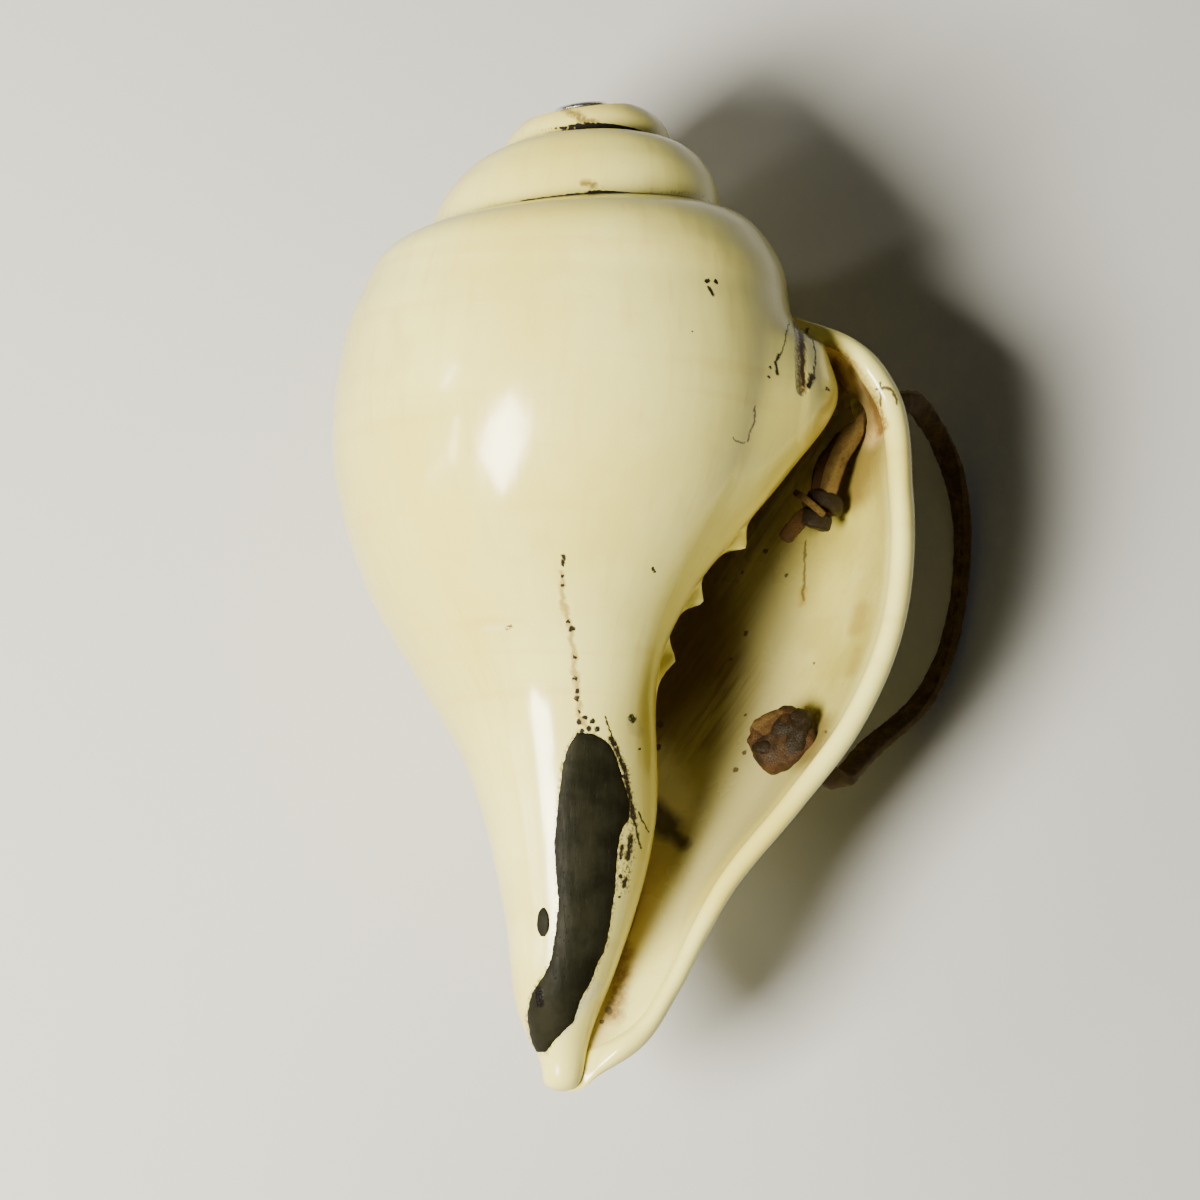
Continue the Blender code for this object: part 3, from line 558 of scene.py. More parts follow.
def shell_patches():
    """The surface as grids that share their edges: body, spire, rounded outer lip,
    inner lip and hollow.  The lip's rim is half a circle from the outside to the hollow's
    first section; the inner lip runs from the body's edge to the same section, read on
    the callus and drawn straight at both its ends."""
    s = columns()
    seam = int(np.argmin(np.abs(s - SEAM)))
    step = TURN / ROWS

    # below the seam the body starts 6.75 degrees late, made up for within 12 degrees
    angle = np.repeat((np.arange(ROWS + 1) * step - TURN)[:, None], len(s), axis=1)
    edge = -TURN + math.radians(6.75) * smooth((s - SEAM) / 0.6)
    share = np.clip(1.0 - np.arange(ROWS + 1) * step / math.radians(12.0), 0.0, 1.0)[:, None]
    angle = np.maximum(angle, -TURN) + share * (edge + TURN)[None, :]
    body = to_space(angle, profile(angle, np.broadcast_to(s, angle.shape)))

    count = int(SPIRE_WHORLS * ROWS)
    turn = np.repeat((-TURN - np.arange(count + 1) * step)[:, None], seam + 1, axis=1)
    upper = to_space(turn, spire(turn, np.broadcast_to(s[:seam + 1], turn.shape)))

    arc = np.linspace(0.0, math.pi, RING + 1)[:, None, None]
    first = to_space(0.0, hollow_loop(0.0, s, seam))
    inside, outside = first[:len(s)], body[-1]
    width = np.linalg.norm(outside - inside, axis=1)
    rim = outside + (inside - outside) * (1.0 - np.cos(arc)) / 2.0
    bulge = 0.5 * width * smooth(s / 1.5) * smooth((LAST - s) / 0.8)
    rim[..., 2] += np.sin(arc[..., 0]) * bulge

    cols = s[::-1][:len(s) - seam]
    row = np.linspace(0.0, 1.0, RING + 1)[:, None]
    t = edge[::-1][:len(cols)] * (1.0 - row) - TURN * row
    read = cols * (1.0 - row) + columella_parameter(cols, LIP_FOOT) * row
    lip = to_space(t, profile(t, read))
    target = first[len(s) - 1:]
    lip = lip + (target - lip[-1]) * row[..., None]
    begin = body[0][::-1][:len(cols)]
    straight = begin + (target - begin) * (1.0 - np.cos(arc)) / 2.0
    ends = np.maximum(1 - smooth((LAST - cols) / 1.0), 1 - smooth((cols - SEAM) / 1.0))
    lip = lip + (straight - lip) * ends[None, :, None]

    turns = int(round(-LUMEN_END / 360.0 * ROWS))
    hollow = np.array([to_space(-k * step, hollow_loop(-k * step, s, seam))
                       for k in range(turns + 1)])
    return body, upper, rim, lip, hollow


def shell_mesh():
    """The patches as one closed mesh, with a fan of faces over the tip and over the
    hollow's blind end; faces of the hollow use the second material.  What dips under the
    floor is raised to it."""
    body, upper, rim, lip, hollow = shell_patches()
    points, faces, inner, start = [], [], [], 0
    for k, patch in enumerate((body, upper, rim, lip, hollow)):
        rows, cols = patch.shape[:2]
        quads = grid_faces(rows, cols, start).tolist()
        faces += quads
        inner += [k == 4] * len(quads)
        points.append(patch.reshape(-1, 3))
        if k == 1:
            ring = [start + (rows - 1) * cols + j for j in range(cols)][::-1]
            ring += [start + (rows - 1 - m) * cols for m in range(1, ROWS + 1)]
            tip = (ring, patch.reshape(-1, 3)[np.array(ring) - start].mean(axis=0))
        if k == 4:
            ring = [start + (rows - 1) * cols + j for j in range(cols - 1)]
            end = (ring, patch[-1, :-1].mean(axis=0))
        start += rows * cols
    for (ring, hub), dark in ((tip, False), (end, True)):
        fan = [[a, b, start] for a, b in zip(ring, ring[1:] + (ring[:1] if dark else []))]
        faces += fan
        inner += [dark] * len(fan)
        points.append(hub[None])
        start += 1
    mesh = bpy.data.meshes.new("shell_surface")
    mesh.from_pydata(lay(np.concatenate(points)).tolist(), [], faces)
    mesh.polygons.foreach_set("material_index", np.array(inner, np.int32))
    cleaned(mesh, 0.004 * MM)
    places = np.empty(3 * len(mesh.vertices), np.float32)
    mesh.vertices.foreach_get("co", places)
    places[2::3] = np.maximum(places[2::3], 0.0)
    mesh.vertices.foreach_set("co", places)
    mesh.update()
    return mesh


def bar(name, start, end, radius, steps=64):
    """A closed round bar from start to end (shell frame) as a cutting tool."""
    a, b = lay(start), lay(end)
    axis = (b - a) / np.linalg.norm(b - a)
    side = np.cross(axis, (0.3, 0.2, 0.9))
    side /= np.linalg.norm(side)
    phi = circle(steps)[:, None]
    ring = radius * (np.cos(phi) * side + np.sin(phi) * np.cross(axis, side))
    return put(name, make_mesh(name, *closed_tube(np.stack([a + ring, b + ring]))))


def cut_away(piece, tools):
    """Takes the tools out of the piece with Booleans, applies them, removes the tools."""
    for tool in tools:
        step = piece.modifiers.new(tool.name, "BOOLEAN")
        step.operation, step.solver, step.object = "DIFFERENCE", "EXACT", tool
    bpy.context.view_layer.update()
    ready = piece.evaluated_get(bpy.context.evaluated_depsgraph_get())
    made = bpy.data.meshes.new_from_object(ready)
    piece.modifiers.clear()
    piece.data = made
    for tool in tools:
        bpy.data.objects.remove(tool, do_unlink=True)


# surface tables for the fills on the canal

CANAL_FRONT = -0.75 * TURN
TABLE_T = np.linspace(CANAL_FRONT - 1.35, CANAL_FRONT + 1.35, 61)
TABLE_AXIAL = np.linspace(118.0, 187.0, 139) * MM
TABLE_S = np.linspace(6.0, LAST, 260)
TABLE_R = np.array([np.interp(TABLE_AXIAL, *profile(np.full(TABLE_S.shape, t), TABLE_S).T)
                    for t in TABLE_T])


def canal_radius(axial, t):
    """Radius of the canal's outside, read from the table by straight lines."""
    i = np.clip((t - TABLE_T[0]) / (TABLE_T[1] - TABLE_T[0]), 0.0, len(TABLE_T) - 1.001)
    j = np.clip((axial - TABLE_AXIAL[0]) / (TABLE_AXIAL[1] - TABLE_AXIAL[0]), 0.0,
                len(TABLE_AXIAL) - 1.001)
    a, b = i.astype(int), j.astype(int)
    f, g = i - a, j - b
    return ((TABLE_R[a, b] * (1 - g) + TABLE_R[a, b + 1] * g) * (1 - f)
            + (TABLE_R[a + 1, b] * (1 - g) + TABLE_R[a + 1, b + 1] * g) * f)


def on_canal(axial, x, lift):
    """Shell-frame point over the canal's front with this axial place and x, raised by
    lift: t is -270 degrees less asin(x / radius), found by repeating."""
    t = np.full(np.broadcast(axial, x).shape, CANAL_FRONT)
    for _ in range(14):
        t = CANAL_FRONT - np.arcsin(np.clip(x / canal_radius(axial, t), -0.98, 0.98))
    r = canal_radius(axial, t) + lift
    return np.stack([r * np.cos(t), -axial * np.ones_like(r), r * np.sin(t)], axis=-1)


# the fills' rows in mm: depth from the apex's plane, left edge, right edge
PATCH_ROWS = [(126.6, 0.2, 3.0), (127.8, -0.5, 5.6), (129.5, -1.4, 7.0), (132.0, -2.1, 8.1),
              (135.0, -2.5, 9.1), (138.0, -2.7, 10.0), (140.8, -2.9, 10.2), (143.2, -3.0, 8.9),
              (147.3, -3.1, 8.4), (152.6, -2.5, 8.2), (157.0, -2.1, 7.8), (163.6, -2.6, 6.9),
              (167.1, -3.0, 5.5), (169.4, -4.0, 4.8), (171.2, -5.2, 4.0), (173.2, -6.2, 3.0),
              (175.7, -6.8, 2.1), (177.6, -6.8, 1.4), (179.4, -6.4, -0.3), (181.2, -5.9, -1.9),
              (183.0, -5.2, -3.2)]
DAB_ROWS = [(157.6, -4.9, -4.3), (158.6, -5.5, -3.7), (160.1, -5.7, -3.4), (161.6, -5.5, -3.5),
            (162.7, -4.9, -4.1)]


def pitch_fill(name, rows, count, ragged, seed):
    """A fill on the canal: over each row from left to right edge a low pillow, raised
    0.34 mm times (1 - |x|^5) and sunk 1.2 mm below, its outline shaken by a ripple."""
    rows = spline3(np.array(rows) * MM, count)
    axial, left, right = rows.T
    shake = np.stack([axial * 0 + 1, axial, axial * 0], axis=-1)
    left = left + ragged * (ripple(shake, 1.7 * MM, seed)
                            + 0.6 * ripple(shake, 0.7 * MM, seed + 4))
    right = right + ragged * (ripple(shake, 2.0 * MM, seed + 8)
                              + 0.6 * ripple(shake, 0.8 * MM, seed + 3))
    share = np.linspace(-1.0, 1.0, 41)
    top = np.stack([share, 0.34 * (1.0 - np.abs(share) ** 5) - 0.02], axis=1)
    low = np.stack([share[::-1][1:-1], -1.2 + 0.5 * np.abs(share[::-1][1:-1]) ** 4], axis=1)
    loop = np.concatenate([top, low])
    x = (left + right)[:, None] / 2 + (right - left)[:, None] / 2 * loop[None, :, 0]
    ends = np.clip(np.minimum(axial - axial[0], axial[-1] - axial) / (1.4 * MM), 0.0, 1.0)
    lift = loop[None, :, 1] * MM * (0.15 + 0.85 * np.sqrt(ends))[:, None]
    where = np.stack([x, axial[:, None] * np.ones_like(x), x * 0], axis=-1)
    dent = MM * (0.05 * ripple(where, 5.5 * MM, seed + 1)
                 + 0.03 * ripple(where, 2.2 * MM, seed + 2))
    lift = lift + dent * (loop[None, :, 1] > 0.1)
    rings = lay(on_canal(axial[:, None] * np.ones_like(x), x, lift))
    return make_mesh(name, *closed_tube(rings), merge=1e-6)


def turned(name, outline, steps, uneven, seed):
    """A ring about the mouth's axis: the closed outline of (radius, depth) in mm, rounded
    by a 0.35 share of its closed Catmull-Rom curve, spun once, a little uneven, then leaned to
    the left and front and moved to the mouth."""
    pts = np.array(outline, float)
    f = np.linspace(0.0, 1.0, 6, endpoint=False)[None, :, None]
    a, b, c, d = (np.roll(pts, 1 - k, axis=0)[:, None, :] for k in range(4))
    tight = 0.35
    fine = (1 - tight) * (b + (c - b) * f) + tight * catmull(a, b, c, d, f)
    fine = fine.reshape(-1, 2)
    phi = circle(steps)[:, None]
    rings = np.stack([fine[:, 0] * np.cos(phi), -fine[:, 1] * np.ones_like(phi),
                      fine[:, 0] * np.sin(phi)], axis=-1)
    rings = rings + uneven * ripple(rings, 3.3, seed)[..., None] * np.array((0.2, 1.0, 0.2))
    rings = rings @ MOUTH_WAY.T + MOUTH
    count = rings.shape[1]
    faces = grid_faces(steps, count, wrap=True).tolist()
    last = (steps - 1) * count
    faces += [[last + j, last + (j + 1) % count, (j + 1) % count, j] for j in range(count)]
    return make_mesh(name, lay(rings.reshape(-1, 3) * MM), faces)


# shader maths

class Wire:
    """A socket that carries a value; arithmetic on it adds Math nodes."""

    def __init__(self, finish, socket):
        self.finish, self.socket = finish, socket

    def math(self, operation, *others):
        return self.finish.node("Math", {"operation": operation},
                                dict(enumerate((self, *others))))

    def __add__(self, other): return self.math("ADD", other)
    def __sub__(self, other): return self.math("SUBTRACT", other)
    def __rsub__(self, other): return self.finish.node(
        "Math", {"operation": "SUBTRACT"}, {0: other, 1: self})
    def __mul__(self, other): return self.math("MULTIPLY", other)
    def __truediv__(self, other): return self.math("DIVIDE", other)
    __radd__, __rmul__ = __add__, __mul__


def chain(operation, wires):
    """The operation taken over all the wires, from the first on."""
    total, *others = wires
    for wire in others:
        total = total.math(operation, wire)
    return total


def union(*shares):
    """The largest of the shares."""
    return chain("MAXIMUM", shares)


# how much of each direction counts between drawn marks and the place: little of the depth
FLAT = np.array((1.0, 1.0, 0.12))


class Finish:
    """A material on its bench: node() adds any node and hands back its output."""

    def __init__(self, name, **constants):
        self.material = bpy.data.materials.new(name)
        self.material.use_nodes = True
        self.tree = self.material.node_tree
        self.skin = self.tree.nodes["Principled BSDF"]
        for key, value in constants.items():
            self.skin.inputs[key.replace("_", " ")].default_value = value

    def node(self, kind, settings=None, sockets=None, out=0):
        made = self.tree.nodes.new("ShaderNode" + kind)
        for key, value in (settings or {}).items():
            if key == "stops":
                ramp = made.color_ramp
                while len(ramp.elements) < len(value):
                    ramp.elements.new(0.5)
                for element, (place, colour) in zip(ramp.elements, value):
                    element.position, element.color = place, colour
            else:
                setattr(made, key, value)
        for key, value in (sockets or {}).items():
            if isinstance(value, Wire):
                self.tree.links.new(value.socket, made.inputs[key])
            else:
                made.inputs[key].default_value = value
        return Wire(self, made.outputs[out])

    def paint(self, **values):
        """Leads values to the skin's sockets of these names."""
        for key, value in values.items():
            self.tree.links.new(value.socket, self.skin.inputs[key.replace("_", " ")])

    def vector(self, operation, a, b=None, scale=None, out=0):
        sockets = {0: a, 1: b, "Scale": scale}
        return self.node("VectorMath", {"operation": operation},
                         {key: value for key, value in sockets.items() if value is not None}, out)

    def mix(self, a, b, share):
        """Colour a turned into colour b by share."""
        a, b = (v if isinstance(v, Wire) else (*v, 1.0) for v in (a, b))
        return self.node("Mix", {"data_type": "RGBA"}, {0: share, 6: a, 7: b}, 2)

    def coats(self, colour, coats):
        """Coats of (shade, share) laid over a colour one after another."""
        for shade, share in coats:
            colour = self.mix(colour, shade, share)
        return colour

    def step(self, value, low, high, a=0.0, b=1.0):
        """Value mapped smoothly from low..high to a..b."""
        return self.node("MapRange", {"interpolation_type": "SMOOTHSTEP"},
                         {0: value, 1: low, 2: high, 3: a, 4: b})

    def noise(self, where, scale, detail=3.0, rough=0.5, out=0):
        return self.node("TexNoise", {}, {"Vector": where, "Scale": scale, "Detail": detail,
                                          "Roughness": rough}, out)

    def bump(self, height, strength, distance):
        return self.node("Bump", {}, {"Height": height, "Strength": strength,
                                      "Distance": distance})

    def shell_place(self):
        """Object coordinates as millimetres in the shell's own frame."""
        return self.node("Mapping", {"vector_type": "POINT"}, {
            "Vector": self.node("TexCoord", out=3), "Location": tuple(FOOT / MM),
            "Rotation": Matrix(LAY.T.tolist()).to_euler("XYZ"), "Scale": (1000.0,) * 3})

    def part(self, vector, k):
        return self.node("SeparateXYZ", {}, {0: vector}, k)

    def shaken(self, place, scale, size):
        """The place moved a little at random, so that drawn marks are ragged."""
        shake = self.vector("SUBTRACT", self.noise(place, scale, 3.0, 0.6, out=1), (0.5,) * 3)
        return self.vector("ADD", place, self.vector("SCALE", shake, scale=size))

    def stroke(self, where, width, soft, *points):
        """Share of ink along a polyline: the distance to each stretch is that of the
        place less its nearest point on it; 1 within width/2, 0 beyond soft more."""
        gaps = []
        for a, b in zip(points[:-1], points[1:]):
            a, b = np.array(a, float) * FLAT, np.array(b, float) * FLAT
            away = self.vector("SUBTRACT", where, tuple(a))
            way = tuple((b - a) / max(1e-9, (b - a) @ (b - a)))
            share = self.node("Clamp", {}, {0: self.vector("DOT_PRODUCT", away, way, out=1)})
            foot = self.vector("SCALE", tuple(b - a), scale=share)
            gaps.append(self.vector("DISTANCE", away, foot, out=1))
        return self.step(chain("MINIMUM", gaps), width / 2, width / 2 + soft, 1.0, 0.0)

    def dots(self, where, spots):
        """Share of ink in round spots (x, y, z, radius), soft over 0.4 of the radius."""
        gaps = [self.vector("DISTANCE", where, tuple(np.array(spot) * FLAT), out=1) / radius
                for *spot, radius in spots]
        return self.step(chain("MINIMUM", gaps), 0.75, 1.15, 1.0, 0.0)

    def pen(self, place):
        """A pen for marks in mm: it takes rows of (width, softness, points) and round
        spots, and hands back the most ink that any of them puts at the place."""
        where = self.vector("MULTIPLY", place, tuple(FLAT))

        def draw(*rows, spots=()):
            shares = [self.stroke(where, *row) for row in rows]
            return union(*shares, *([self.dots(where, spots)] if spots else []))

        return draw


# finishes

CREAM, IVORY, WARM = (0.78, 0.675, 0.15), (0.86, 0.80, 0.25), (0.68, 0.50, 0.09)
INK, BROWN, STRAW = (0.014, 0.010, 0.006), (0.13, 0.068, 0.020), (0.44, 0.33, 0.065)


def shell_base(f):
    """Cream, clouded with ivory and warm patches, faint growth lines along the axis
    and fainter bands around it.  Hands back the colour and the values it is made of."""
    place = f.shell_place()
    x, y, z = (f.part(place, k) for k in range(3))
    radius, azimuth = (x * x + z * z).math("SQRT"), z.math("ARCTAN2", x)
    cloud, fine = f.noise(place, 0.022, 2.0, 0.5), f.noise(place, 0.09, 3.0, 0.55)
    ring = f.node("CombineXYZ", {}, {0: azimuth * 9.0, 1: y * 0.035, 2: radius * 0.02})
    band = f.node("CombineXYZ", {}, {0: azimuth * 0.35, 1: y * 0.22, 2: radius * 0.05})
    lines, bands = f.noise(ring, 1.6, 3.0, 0.6), f.noise(band, 1.0, 2.0, 0.55)
    colour = f.coats(CREAM, [
        (IVORY, f.step(cloud, 0.36, 0.60)),
        (WARM, f.step(fine, 0.50, 0.80) * 0.28),
        ((0.58, 0.40, 0.09), f.step(lines, 0.50, 0.76) * 0.16),
        ((0.66, 0.42, 0.09), f.step(bands, 0.52, 0.74) * 0.18)])
    return colour, {"place": place, "x": x, "y": y, "z": z, "fine": fine, "lines": lines}


def outer_shell(name, *marks):
    """Polished outside.  Each of marks adds its stains, with some painted shade and a painted
    sheen, to the colour and hands back the share of the surface that they dull."""
    f = Finish(name, Roughness=0.22, Coat_Weight=0.25, Coat_Roughness=0.11, IOR=1.5,
               Specular_IOR_Level=0.36)
    colour, base = shell_base(f)
    place, fine = base["place"], base["fine"]
    rough = 0.19 + f.step(fine, 0.4, 0.8) * 0.10
    height = None
    for each in marks:
        colour, dull, raised = each(f, colour, base)
        rough = rough + dull * 0.33
        if raised is not None:
            height = raised
    f.paint(Base_Color=colour)
    f.paint(Roughness=rough)
    if marks:
        f.paint(Coat_Weight=f.step(rough, 0.32, 0.46, 0.25, 0.03))
    rubbed = f.noise(f.vector("MULTIPLY", place, (0.16, 0.07, 0.16)), 1.0, 2.0, 0.5)
    own = rubbed * 0.5 + base["lines"] * 0.10
    f.paint(Normal=f.bump(own if height is None else own + height, 0.6, 0.45 * MM))
    return f.material


def spire_marks(f, colour, base):
    """The black suture and its pitch, dirt above it, brown stains near the mouth.  The
    log of the depth counts whorls and the azimuth says where in the whorl; the spire's
    lean and shift are taken off first."""
    x, y, z, place = base["x"], base["y"], base["z"], base["place"]
    depth = -1.0 * y
    for _ in range(2):
        depth = f.step(depth, *LEAN_FADES, SPIRE_LEAN, 0.0) * z - y
    azimuth = z.math("ARCTAN2", x - f.step(depth, *WIDER_FADES, SPIRE_ASIDE / MM, 0.0))
    grit = f.noise(place, 1.4, 3.0, 0.6)
    broad = f.noise(place, 0.28, 2.0, 0.5)
    whorl = (depth / 46.2).math("LOGARITHM", WHORL_RATIO)
    phase = whorl - azimuth / TURN
    older = f.step(whorl, -0.004, 0.012, 1.0, 0.0)
    side = phase - (phase + 0.5).math("FLOOR")
    off = side.math("ABSOLUTE") * depth * 0.507
    seam = f.step(off + (grit - 0.5) * 0.25, 0.06, 0.30, 1.0, 0.0)
    fill_up = (f.step(whorl, -1.935, -1.895) * f.step(whorl, -1.685, -1.655, 1.0, 0.0)
               * f.step(whorl, -1.84, -1.74, 1.15, 0.45))
    fill_low = (f.step(whorl, -0.815, -0.795) * f.step(whorl, -0.70, -0.675, 1.0, 0.0)
                * f.step(whorl, -0.79, -0.76, 0.55, 0.30))
    thick = fill_up + fill_low
    fill = (f.step(off - thick * (0.45 + grit * 1.5), -0.05, 0.12, 1.0, 0.0)
            * f.step(thick, 0.02, 0.10))
    dirt = (f.step(off, 0.15, 1.8, 1.0, 0.0) * f.step(grit, 0.46, 0.74)
            * f.step(broad, 0.45, 0.62) * f.step(side, -0.01, 0.004, 1.0, 0.0))
    draw = f.pen(f.shaken(place, 0.9, 1.6))
    stain = draw(
        (0.9, 0.9, (-7.5, -11.8, 5.8), (-4.6, -13.4, 12.0), (-2.4, -14.9, 13.6)),
        (0.9, 0.8, (-1.4, -15.0, 13.8), (0.4, -16.4, 14.6)),
        (0.6, 0.8, (-2.6, -28.7, 24.0), (-0.8, -28.9, 24.4)))
    stain = stain * f.step(grit, 0.25, 0.55, 0.35, 1.0)
    colour = f.coats(colour, [
        (BROWN, dirt * older * 0.6),
        ((0.17, 0.11, 0.02), stain * 0.85),
        ((0.10, 0.06, 0.025), seam * older * f.step(depth, 12.0, 15.0, 0.0, 0.85)),
        (INK, fill * older)])
    return colour, union(fill * older, stain * 0.6), None


def corner_marks(f, colour, base):
    """The callus at the posterior corner: a dark slit and a brown band, painted shade in the
    groove beside a pale raised edge, black chips, hairlines, and the straw-coloured groove
    towards the drilled hole."""
    place = base["place"]
    grit = f.noise(place, 1.6, 3.0, 0.6)
    draw = f.pen(f.shaken(place, 0.6, 1.3))
    # painted shade: the dark slit and the brown band below draw the groove's shade beside the
    # callus edge
    slit = draw((0.30, 0.5, (37.7, -50.0, 11.6), (38.1, -55.5, 14.2), (38.5, -61.6, 14.1)))
    painted_groove_shade = draw((1.1, 0.8, (37.4, -49.0, 10.4), (37.9, -55.5, 14.2), (38.3, -62.4, 14.1)))
    shard = draw((0.55, 0.3, (38.9, -51.8, 11.3), (39.4, -55.5, 12.5), (39.9, -58.8, 12.2)))
    ink = draw(
        (0.5, 0.5, (39.6, -48.6, 3.0), (39.7, -50.1, 6.9), (39.9, -51.8, 9.9)),
        (0.10, 0.25, (40.2, -52.3, 9.8), (40.7, -55.3, 10.7), (40.7, -57.2, 11.1)),
        (0.65, 0.5, (40.2, -57.9, 11.9), (40.1, -59.8, 12.1), (39.6, -61.4, 12.7)),
        (0.36, 0.3, (20.4, -48.2, 32.8), (20.9, -48.8, 32.8), (21.3, -49.5, 32.6)),
        (0.03, 0.22, (35.7, -49.6, 14.0), (35.0, -53.2, 17.6), (34.9, -54.8, 18.0),
         (34.0, -57.4, 19.2)),
        (0.22, 0.4, (33.8, -57.3, 19.7), (33.2, -58.7, 20.2), (33.6, -60.6, 19.4)),
        spots=[(20.1, -47.0, 32.7, 0.55), (21.7, -46.8, 31.6, 0.5), (32.0, -61.6, 20.9, 0.35),
               (32.1, -59.9, 21.1, 0.25), (17.8, -56.8, 35.5, 0.22), (43.2, -61.1, 7.8, 0.45),
               (46.2, -62.5, 5.6, 0.3)]) * f.step(grit, 0.28, 0.44, 0.35, 1.0)
    hair = draw(
        (0.08, 0.25, (29.7, -67.2, 22.3), (29.7, -69.8, 21.2), (29.1, -71.2, 21.5),
         (28.8, -73.6, 20.9)),
        (0.05, 0.25, (25.9, -73.7, 24.9), (27.0, -74.1, 23.2), (28.1, -73.8, 21.7)),
        (0.05, 0.2, (21.6, -41.1, 29.4), (23.7, -40.4, 26.9)),
        (0.26, 0.3, (52.4, -59.6, 2.4), (54.0, -59.3, 2.4), (55.6, -60.0, 2.4), (56.4, -62.2, 2.3)),
        (0.2, 0.3, (53.2, -58.4, 2.5), (53.2, -60.6, 2.5), (53.4, -62.6, 2.4)))
    groove = draw((1.0, 1.8, (43.7, -51.8, 1.1), (46.6, -53.7, -2.8), (48.5, -56.4, -4.0),
                   (50.4, -59.3, -4.2), (52.0, -62.1, -3.8), (53.4, -66.1, -3.0)))
    edges = draw(
        (0.15, 0.6, (45.0, -52.0, -1.0), (48.4, -54.6, -1.6), (51.2, -58.4, -1.2),
         (53.4, -62.5, -0.8), (54.5, -66.6, -0.8)),
        (0.2, 0.8, (42.8, -52.8, 0.5), (45.2, -55.6, -4.8), (47.4, -58.6, -8.0)))
    smear = draw((0.5, 0.9, (52.8, -63.5, -2.6), (54.0, -66.6, -0.6)))
    colour = f.coats(colour, [
        (STRAW, groove * f.step(grit, 0.2, 0.6, 0.45, 0.9)),
        ((0.16, 0.075, 0.02), edges * f.step(grit, 0.35, 0.6, 0.3, 0.9)),
        ((0.34, 0.17, 0.03), smear * f.step(grit, 0.3, 0.6) * 0.75),
        # painted shade: brown along the groove
        ((0.10, 0.045, 0.014), painted_groove_shade * f.step(grit, 0.3, 0.55, 0.5, 1.0) * 0.9),
        ((0.06, 0.038, 0.014), hair * 0.9),
        (INK, ink),
        # painted shade: the dark slit in the groove
        ((0.05, 0.024, 0.008), slit),
        ((0.90, 0.82, 0.34), shard)])
    ridge = f.pen(place)((0.6, 2.2, (40.2, -50.0, 7.0), (40.5, -54.3, 10.5), (40.7, -61.0, 11.5),
                          (40.5, -66.2, 9.9), (40.1, -70.4, 7.1)))
    return colour, union(slit, ink), ridge * 0.8 - painted_groove_shade * 1.2


